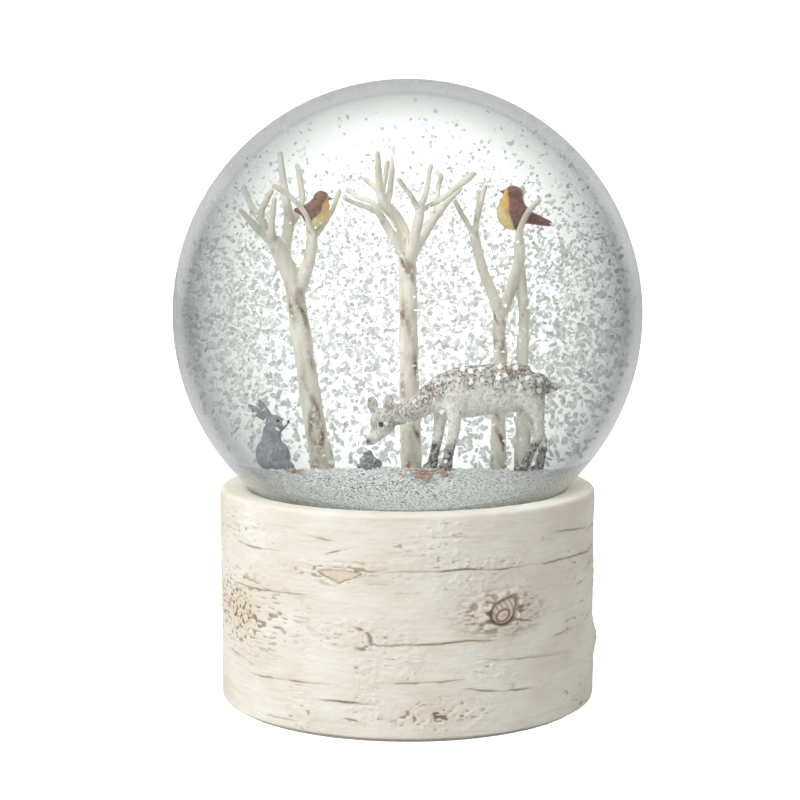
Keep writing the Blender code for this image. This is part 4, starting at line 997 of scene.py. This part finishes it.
def leaves():
    """Small curled leaves lying in two patches at the front of the ground."""
    chance = random.Random(95)
    shapes, rows, columns = [], 7, (-1, -0.4, 0.4, 1)
    faces = leaf_faces(rows, len(columns))
    for patch_x, patch_y, spread_x, spread_y, count in LEAF_PATCHES:
        for _ in range(count):
            x, y = chance.gauss(patch_x, spread_x / 2), chance.gauss(patch_y, spread_y / 2)
            length, width = chance.uniform(1.1, 1.7), chance.uniform(0.5, 0.8)
            spin, roll, pitch = chance.uniform(0, 6.28), chance.uniform(-0.5, 0.5), chance.uniform(-0.4, 0.4)
            turn = turn_by(roll, 0, spin) @ turn_by(0, pitch, 0)
            spots = []
            for skin, t in ((skin, i / (rows - 1)) for skin in (0.05, -0.05) for i in range(rows)):
                half = width / 2 * math.sin(math.pi * min(t * 0.94 + 0.03, 1)) ** 0.7
                for side in columns:
                    curl = 0.22 * side * side + 0.25 * (t - 0.5) ** 2
                    spots.append(turn @ Vector((length * (t - 0.5), half * side, curl + skin)))
            shapes.append((np.array(spots) + (x, y, ground_z(x, y) + 0.12), faces))
    obj = make_object("fallen_leaves", *joined(shapes))
    made, tree, shader = new_material("leaf_paint", Roughness=0.55)
    tone = ramp(tree, noise(tree, 1.0, 3), (0.3, "b28c72"), (0.5, "d6b8a0"), (0.7, "ecdece"))
    colour_in(tree, shader, tone)
    bump(tree, shader, noise(tree, 0.3, 2), 0.4, 0.08)
    finish_piece(obj, "leaf_paint", ["leaf_litter"], made)


# ---------------------------------------------------------------- the birch-bark base

# Lenticels on the front: angle from the front (degrees, + to the right), height, half span (degrees), depth,
# rise at the right-hand end
LENTICELS = (
    (-50, 37.2, 12, 0.5, 0.2), (-26.6, 40.9, 5, 0.45, -0.5), (12, 41.5, 7, 0.35, -0.3),
    (57.5, 40.0, 12, 0.4, -0.6), (-20.2, 38.4, 4.5, 0.45, 0.7), (16, 34.8, 27, 0.75, 0.0),
    (60, 34.4, 25, 0.6, -0.2), (-46, 28.7, 21, 0.45, 0.5), (9, 20.2, 20, 0.65, 0.2),
    (-38, 11.0, 18, 0.55, 0.4), (4, 12.4, 13, 0.5, 0.2), (40, 15.5, 19, 0.5, -1.2),
    (28, 9.9, 13, 0.6, -0.8), (-18.4, 8.0, 10, 1.0, 0.0), (-39.6, 2.8, 7, 0.55, 0.0),
    (-16, 4.4, 2.6, 0.7, -0.3), (-60, 13.2, 9, 0.4, -0.6), (70, 31.0, 8, 0.5, 0.8),
    (66, 28.5, 6, 0.4, 0.5), (-3, 38.7, 5, 0.25, 0.0), (52, 19.0, 7, 0.3, 0.4), (0, 30.5, 4, 0.2, 0.1),
    (-5, 16.0, 3, 0.3, 0.2), (75, 20.5, 7, 0.4, 1.0),
)
# Knots: angle, height, half width and half height in mm, tilt, kind
KNOTS = (
    (28.3, 25.6, 2.9, 2.5, 20, "eye"), (-20.0, 34.2, 4.6, 1.5, 0, "lens"),
    (-60.5, 23.0, 6.0, 4.4, -20, "rough"), (-14.5, 21.3, 3.0, 2.1, -20, "ring"),
    (8.5, 5.8, 3.4, 1.7, 0, "pits"), (86, 13.5, 2.6, 3.2, 0, "burl"), (148, 28.0, 3.2, 2.4, -15, "eye"),
    (-128, 15.0, 4.2, 1.4, 0, "lens"), (205, 12.0, 3.6, 2.8, 10, "rough"),
    (110, 38.0, 1.8, 1.4, 0, "ring"), (-100, 35.0, 2.6, 2.0, 15, "eye"), (178, 36.0, 3.8, 1.2, 0, "lens"),
)


def bark_relief(turn, z):
    """The bark's height over the plain wall in mm, and masks of its dark creases and its stained patches.
    turn is the angle from the front in degrees."""
    around = 2 * np.pi * BASE_RADIUS
    wave = turn / 360

    def layer(size_s, size_z, seed):
        cells_round = max(3, int(round(around / size_s)))
        return lattice(wave * cells_round, z / size_z + 7, cells_round, seed)

    def gap_to(angle):
        return (turn - angle + 180) % 360 - 180

    def peak(value, width):
        return np.exp(-((value / width) ** 2))

    bend = layer(6, 500, 201)
    quiver = layer(1.3, 500, 202)
    warp = 0.5 * layer(9, 6, 203) + 0.3 * layer(2.2, 3, 204)
    ripple = 0.6 * layer(16, 0.9, 205) + 0.4 * layer(7, 0.45, 206)
    fade = 0.5 + 0.5 * layer(12, 7, 207)
    height = 0.16 * layer(14, 9, 208) + 0.08 * layer(5, 4, 209)
    height += 0.05 * ripple * (0.35 + fade) + 0.03 * layer(0.9, 0.8, 210)
    crumbs, chips = 0.65 * layer(1.1, 0.8, 211) + 0.45 * layer(0.6, 0.45, 216), layer(1.5, 0.42, 212)
    crust = smooth_step(layer(8, 5, 213), 0.1, 0.6)
    height += 0.16 * crust * smooth_step(crumbs + 0.4 * chips, -0.2, 0.8)
    dark = 0.1 * smooth_step(-ripple, 0.35, 0.9) * smooth_step(fade, 0.45, 0.9)
    dark += 0.4 * crust * smooth_step(-chips, 0.6, 0.85)
    stain = 0.25 * crust * smooth_step(-crumbs, 0.2, 0.7)

    def darken(*amounts):
        for amount in amounts:
            np.maximum(dark, amount, out=dark)

    def tan(*amounts):
        for amount in amounts:
            np.maximum(stain, amount, out=stain)

    chance = random.Random(214)
    marks = list(LENTICELS)
    for _ in range(46):
        angle, span = chance.uniform(82, 278), chance.choice((3, 5, 8, 12, 18))
        mid, depth, rise = chance.uniform(3, 43), chance.uniform(0.3, 0.9), chance.uniform(-0.6, 0.6)
        marks.append((angle, mid, span, depth, rise))
    for angle, mid, half, depth, rise in marks:
        along = gap_to(angle) / half
        taper = np.clip(1 - along**2, 0, 1) ** 0.6
        off = z - mid - rise * along - 0.3 * bend - 0.09 * quiver - 0.1 * warp
        width = 0.12 + 0.12 * depth * taper
        cut = peak(off, width) * taper
        broken = 0.35 + 0.65 * smooth_step(layer(4, 500, 215 + int(mid)), -0.5, 0.3)
        ledge = np.exp(-np.abs(off) / 1.1) * (off > 0) * taper
        height += 0.09 * depth * ledge - 0.3 * depth * cut
        darken(cut * broken * (0.3 + 0.75 * depth))
        tan(0.5 * peak(off, 0.55) * taper * broken)

    for angle, mid, half_w, half_h, tilt, kind in KNOTS:
        ds = np.radians(gap_to(angle)) * BASE_RADIUS
        dz = z - mid
        c, n = math.cos(math.radians(tilt)), math.sin(math.radians(tilt))
        a, b = (ds * c + dz * n) / half_w, (-ds * n + dz * c) / half_h
        far = np.hypot(a, b) + 0.14 * warp + 0.06 * crumbs
        pits = smooth_step(-crumbs, 0.3, 0.7)
        halo = peak(far, 1.9)
        wings = np.exp(-((ds / (2.8 * half_w)) ** 2) - (dz / (1.6 * half_h)) ** 2)
        if kind == "eye":
            q = np.arctan2(b, a)
            drop = far / (1 + 0.5 * peak(q - 0.5, 0.45))
            inner = np.hypot((a + 0.05) * 0.9 + (b + 0.2) * 0.5, (b + 0.2) * 1.1 - (a + 0.05) * 0.5) / 0.55
            groove, lid = peak(drop - 1.0, 0.13), peak(inner - 1.0, 0.2) * (drop < 0.95)
            strokes = smooth_step(np.sin(a * 17 + 3 * b * b), 0.3, 0.9) * (drop < 0.9)
            strokes *= smooth_step(inner, 1.1, 1.3)
            height += 0.5 * peak(drop - 1.3, 0.24) + 0.35 * np.clip(1 - drop, 0, 1)
            height -= 0.45 * groove + 0.25 * lid
            height += wings * (0.45 * chips + 0.3 * crumbs) * (drop > 1.1)
            darken(groove * (0.55 + 0.45 * smooth_step(-b - a, -0.8, 0.6)))
            darken(lid * 0.8, 0.45 * strokes)
            darken(0.5 * peak(inner, 0.35) * smooth_step(np.sin(b * 22), 0, 0.8))
            darken(wings * (drop > 1.1) * smooth_step(-chips - 0.6 * crumbs, 0.0, 0.45))
            tan(0.9 * halo * smooth_step(pits + (drop < 1.1), 0.1, 0.8))
            tan(0.85 * wings)
        elif kind == "lens":
            edge = np.abs(ds) / half_w
            jag = 0.12 * layer(0.9, 500, 240)
            upper = jag + 0.45 * (1 - edge**2) * half_h
            lower = jag - 1.3 * np.clip(1 - edge, 0, 1) ** 0.8 * half_h
            inside = smooth_step(upper - dz, -0.08, 0.12) * smooth_step(dz - lower, -0.08, 0.12) * (edge < 1)
            rim = (peak(dz - lower, 0.15) + 0.6 * peak(dz - upper, 0.13)) * (edge < 1.05)
            height += -0.22 * inside - 0.15 * rim + 0.12 * inside * crumbs
            height += 0.3 * wings * (1 - inside) * smooth_step(chips, 0, 0.6)
            darken(0.7 * rim * (0.5 + 0.5 * smooth_step(crumbs, -0.5, 0.3)))
            darken(0.7 * wings * (1 - inside) * smooth_step(-chips, 0.45, 0.75))
            tan(inside, 0.35 * wings)
        elif kind == "rough":
            body = smooth_step(1.2 - far, 0, 0.4)
            fine = layer(0.6, 0.5, 241)
            height += body * (0.15 + 0.3 * crumbs) + 0.3 * peak(far - 1.1, 0.25) * (0.6 + crumbs)
            height += 0.25 * wings * chips * (1 - body)
            darken(body * smooth_step(-fine, 0.15, 0.6) * 0.9)
            darken(0.9 * wings * (1 - body) * smooth_step(-chips - 0.4 * crumbs, 0.25, 0.6))
            darken(0.8 * pits * peak(far - 1.2, 0.2))
            tan(0.75 * body, 0.4 * wings)
        elif kind == "ring":
            loop = peak(far - 0.95, 0.16) * smooth_step(a + 0.3 * b, -0.5, 0.3)
            loop *= smooth_step(chips + crumbs, -0.7, 0.1)
            height += 0.28 * peak(far, 0.8) - 0.3 * loop + 0.2 * wings * crumbs
            darken(loop * 0.7, 0.6 * wings * smooth_step(-chips - 0.4 * crumbs, 0.6, 0.9))
            tan(0.35 * wings)
        elif kind == "pits":
            height += wings * 0.3 * crumbs
            darken(wings * smooth_step(-crumbs - 0.4 * chips, 0.3, 0.6) * 0.95)
            tan(0.4 * wings)
        elif kind == "burl":
            swell = peak(far, 0.9)
            height += 0.95 * swell + 0.2 * swell * crumbs
            darken(0.8 * swell * pits)
            tan(0.7 * swell)
    return height, np.clip(dark, 0, 1), np.clip(stain, 0, 1)


def bark_material():
    made, tree, shader = new_material("birch_bark", Roughness=0.6, Specular_IOR_Level=0.3)
    broad = noise(tree, 14.0, 3, stretch=(1, 1, 1.6))
    base = ramp(tree, broad, (0.35, "ded7c7"), (0.5, "e5e0d3"), (0.65, "eae7dd"))
    streak = noise(tree, 2.2, 4, 0.65, stretch=(0.3, 0.3, 3.0))
    base = blend(tree, ramp(tree, streak, (0.5, 0.0), (0.75, 0.5)), base, "d1c7b2")
    base = blend(tree, ramp(tree, streak, (0.25, 0.45), (0.45, 0.0)), base, "f0eee7")
    grain = noise(tree, 0.5, 3, 0.7, seed=3.0)
    stained = times(tree, mask(tree, "stain"), ramp(tree, grain, (0.3, 0.3), (0.7, 0.9)))
    colour = blend(tree, stained, base, "d0bc9e")
    ink = ramp(tree, mask(tree, "dark"), (0.06, 0.0), (0.4, 0.5), (1.0, 0.92))
    brown = ramp(tree, noise(tree, 0.8, 3, seed=7.0), (0.3, "523e2c"), (0.7, "866c52"))
    colour = blend(tree, ink, colour, brown)
    colour_in(tree, shader, colour, ramp(tree, grain, (0.3, 0.5), (0.7, 0.72)))
    lumps = noise(tree, 1.1, 3, 0.6, stretch=(0.6, 0.6, 1.4), seed=5.0)
    height = calc(tree, "ADD", times(tree, streak, 0.5), times(tree, grain, 0.25))
    bump(tree, shader, calc(tree, "ADD", height, times(tree, lumps, 0.6)), 0.8, 0.35)
    return made


def birch_base():
    """The hollow casting: relief on its outer wall, plain moulded faces inside."""
    steps, rows = 1500, 240
    bottom_round, top_round = 0.6, 0.9
    low, high = BASE_BOTTOM_Z + bottom_round, BASE_TOP_Z - top_round
    quarter = [(math.sin(a), math.cos(a)) for a in (math.pi / 2 * i / 8 for i in range(9))]
    wall = [(BASE_RADIUS - bottom_round * (1 - n), low - bottom_round * c) for n, c in quarter]
    wall += [(BASE_RADIUS, low + (high - low) * i / rows) for i in range(1, rows)]
    wall += [(BASE_RADIUS - top_round * (1 - c), high + top_round * n) for n, c in quarter]
    count = len(wall)
    dish = [(38.6, 0.0), (36.5, 0.1), (34.9, 0.15), (34.5, 0.5)]
    ledge_z, socket, chamber, cover_z, cover_recess = 31.1, 33.2, 31.6, 11.0, 36.0
    inside = [(radius, BASE_TOP_Z - drop) for radius, drop in dish]
    inside += [(socket, 44.4), (socket, ledge_z), (chamber, ledge_z), (chamber, cover_z)]
    inside += [(cover_recess, cover_z), (cover_recess, BASE_BOTTOM_Z)]
    points, faces = turned(wall + inside, steps, closed=True)
    points = np.array(points, float)
    outer = slice(0, count * steps)
    turn = (np.degrees(np.arctan2(points[outer, 0], -points[outer, 1])) + 360) % 360
    z = points[outer, 2]
    height, dark, stain = bark_relief(turn, z)
    edge = smooth_step(z, BASE_BOTTOM_Z, BASE_BOTTOM_Z + 1.6) * smooth_step(BASE_TOP_Z - z, 0.1, 2.4)
    radius = np.hypot(points[outer, 0], points[outer, 1])
    scale = (radius + height * edge - 0.12) / radius
    points[outer, 0] *= scale
    points[outer, 1] *= scale
    top = slice(count * steps, (count + 3) * steps)
    points[top, 2] += 0.08 * space_noise(points[top], 4.0, 261)
    obj = make_object("bark_base", points, faces)
    obj.data.set_sharp_from_angle(angle=math.radians(60))
    masks = np.zeros((2, len(points)))
    masks[0, outer] = dark * smooth_step(BASE_TOP_Z - z, 0.6, 2.2) * smooth_step(z, 1.0, 2.0)
    masks[1, outer] = stain * smooth_step(BASE_TOP_Z - z, 0.6, 2.2)
    set_mask(obj, "dark", masks[0])
    set_mask(obj, "stain", masks[1])
    return finish_piece(obj, "birch_resin", ["birch_base"], bark_material())


def felt_pad():
    """The felt ring under the base, with a fuzzy cut edge."""
    low, high = box_mm("felt_ring")
    outer, edge = high[0], 0.1
    inner = outer - 2.0
    half = [(outer - edge, low[2]), (outer, low[2] + edge), (outer, high[2] - edge), (outer - edge, high[2])]
    profile = half + [(outer + inner - radius, z) for radius, z in reversed(half)]
    points, faces = turned(profile, 420, closed=True)
    points = np.array(points, float)
    fuzz = 0.1 * space_noise(points, 0.8, 271)
    points[:, :2] *= (1 + fuzz / np.hypot(points[:, 0], points[:, 1]))[:, None]
    obj = make_object("felt_pad", points, faces)
    made, tree, shader = new_material("felt_cloth", Roughness=0.95, Sheen_Weight=0.5, Sheen_Roughness=0.5)
    fibre = noise(tree, 0.3, 5, 0.7)
    colour_in(tree, shader, ramp(tree, fibre, (0.3, "c4c0b6"), (0.7, "e4e1d8")))
    bump(tree, shader, fibre, 0.8, 0.2)
    return finish_piece(obj, "felt", ["felt_ring"], made)


# ---------------------------------------------------------------- finishes of the CAD nodes

def metal(name, dark, pale, roughness, stretch, grain_size):
    """Brushed or cast metal: colour, gloss and fine lines vary along its grain."""
    made, tree, shader = new_material(name, Metallic=1.0)
    grain = noise(tree, grain_size, 4, 0.7, stretch=stretch)
    rough = ramp(tree, grain, (0.3, roughness * 0.75), (0.7, roughness * 1.3))
    colour_in(tree, shader, ramp(tree, noise(tree, 4.0, 3), (0.3, dark), (0.7, pale)), rough)
    bump(tree, shader, grain, 0.25, 0.05)
    return made


def moulded(name, dark, pale, roughness, grain_size=0.4):
    """Moulded rubber or plastic with a fine matt grain."""
    made, tree, shader = new_material(name)
    grain = noise(tree, grain_size, 3, 0.6)
    rough = ramp(tree, grain, (0.3, roughness - 0.1), (0.7, min(roughness + 0.1, 1.0)))
    colour_in(tree, shader, ramp(tree, noise(tree, 3.0, 3), (0.3, dark), (0.7, pale)), rough)
    bump(tree, shader, grain, 0.3, 0.06)
    return made


def dress_cad_nodes():
    """Gives the CAD nodes that stay visible as they are a finish by their material slot."""
    finishes = {
        "rubber": moulded("black_rubber", "262626", "3a3a3a", 0.7),
        "silicone": moulded("cured_silicone", "d0d2ce", "e8e9e6", 0.35, 1.2),
        "cover_plastic": moulded("cover_sheet", "222223", "363637", 0.5, 0.6),
        "zinc": metal("cast_zinc", "a4a6aa", "c4c6ca", 0.4, (1, 1, 1), 0.6),
        "brass": metal("satin_brass", "c49e54", "e0be76", 0.3, (0.2, 1, 1), 0.3),
        "steel": metal("bright_steel", "bec0c4", "d8dade", 0.26, (1, 1, 0.15), 0.25),
        "chrome": metal("nickel_plate", "d6d8dc", "eceef0", 0.12, (1, 1, 1), 1.0),
    }
    slot_of = {part["node"]: part["material_slot"] for part in frame["record"]["subparts"]}
    for name, obj in frame["nodes"].items():
        finish = finishes.get(slot_of[name])
        if finish is None:
            continue
        if not obj.material_slots:
            obj.data.materials.append(finish)
        for slot in obj.material_slots:
            slot.material = finish


# ---------------------------------------------------------------- stage, light and camera

FLOOR_HALF = 6000.0


def looked_at(tree):
    """1 for rays that reach the picture straight or through glass, 0 for those that only light other things.
    The white surroundings are brighter in the picture than the light they give."""
    path = add(tree, "ShaderNodeLightPath").outputs
    return calc(tree, "ADD", path["Is Camera Ray"], path["Is Transmission Ray"], clamp=True)


def stage():
    """The pale floor."""
    made, tree, shader = new_material("pale_floor", Roughness=0.9, Specular_IOR_Level=0.1)
    tone = ramp(tree, noise(tree, 60.0, 2), (0.3, 0.59), (0.7, 0.61))
    colour_in(tree, shader, tone)
    shader.inputs["Emission Color"].default_value = (1, 1, 1, 1)
    tree.links.new(calc(tree, "MULTIPLY_ADD", looked_at(tree), 1.1, 0.1), shader.inputs["Emission Strength"])
    points = [(x * FLOOR_HALF, y * FLOOR_HALF, 0) for x, y in ((-1, -1), (1, -1), (1, 1), (-1, 1))]
    floor = make_object("floor", points, [(0, 1, 2, 3)], smooth=False)
    floor.data.materials.append(made)


def soft_lamp(name, place, size, power):
    """A square soft box that faces the globe. It isn't mirrored in the glass or seen through it."""
    lamp = bpy.data.lights.new(name, "AREA")
    lamp.size = size * MM
    lamp.energy = power
    obj = bpy.data.objects.new(name, lamp)
    bpy.context.scene.collection.objects.link(obj)
    obj.location = Vector(place) * MM
    aim = Vector((0, 0, GLOBE_Z * 0.7 * MM)) - obj.location
    obj.rotation_euler = aim.to_track_quat("-Z", "Y").to_euler()
    obj.visible_glossy = False
    obj.visible_transmission = False


def lights():
    """A pale room, brighter on the left, with a soft box at the left and one above."""
    world = bpy.data.worlds.new("studio")
    bpy.context.scene.world = world
    world.use_nodes = True
    tree = world.node_tree
    background = tree.nodes["Background"]
    direction = add(tree, "ShaderNodeSeparateXYZ", {0: add(tree, "ShaderNodeTexCoord").outputs["Generated"]})
    leftness = calc(tree, "MULTIPLY_ADD", direction.outputs["X"], -0.5, 0.5)
    soft = ramp(tree, leftness, (0.0, 0.4), (0.5, 0.56), (1.0, 0.78))
    tree.links.new(blend(tree, looked_at(tree), soft, 1.5), background.inputs["Color"])
    soft_lamp("key_soft_box", (-420, -430, 420), 420, 2.8)
    soft_lamp("top_soft_box", (60, 60, 620), 500, 1.5)


def camera():
    """The camera at the photo's viewing angle."""
    data = bpy.data.cameras.new("camera")
    data.lens, data.sensor_width = CAMERA_LENS, CAMERA_SENSOR
    data.clip_start, data.clip_end = 0.01, 50.0
    obj = bpy.data.objects.new("camera", data)
    bpy.context.scene.collection.objects.link(obj)
    obj.location = Vector(CAMERA_PLACE) * MM
    obj.rotation_euler = (math.radians(90 - CAMERA_PITCH), 0, 0)
    bpy.context.scene.camera = obj


def build():
    """Everything, in order."""
    bpy.context.scene.view_settings.view_transform = "Standard"
    stage()
    lights()
    camera()
    birch_base()
    felt_pad()
    build_glass()
    flake = flake_material()
    snow_mound(snow_material("snow_cast", 1.0))
    snow_bank(snow_material("snow_loose", 0.6))
    settled_flakes(flake)
    drifting_flakes(flake)
    ground_grit()
    twig = birch_twig_material()
    birch("birch_left", LEFT_TREE, twig, 301, "tree_left")
    birch("birch_centre", CENTRE_TREE, twig, 331, "tree_centre")
    birch("birch_right", RIGHT_TREE, twig, 361, "tree_right")
    eye = eye_material()
    robin("robin_in_left_tree", (-14.9, -1.0, 99.4), 1, 1.0, 4, 0.8, "robin_left", eye)
    robin("robin_in_right_tree", (16.2, 10.6, 97.6), -1, 1.12, 24, 1.6, "robin_right", eye)
    fawn(eye)
    rabbit(eye)
    rock()
    leaves()
    dress_cad_nodes()


build()
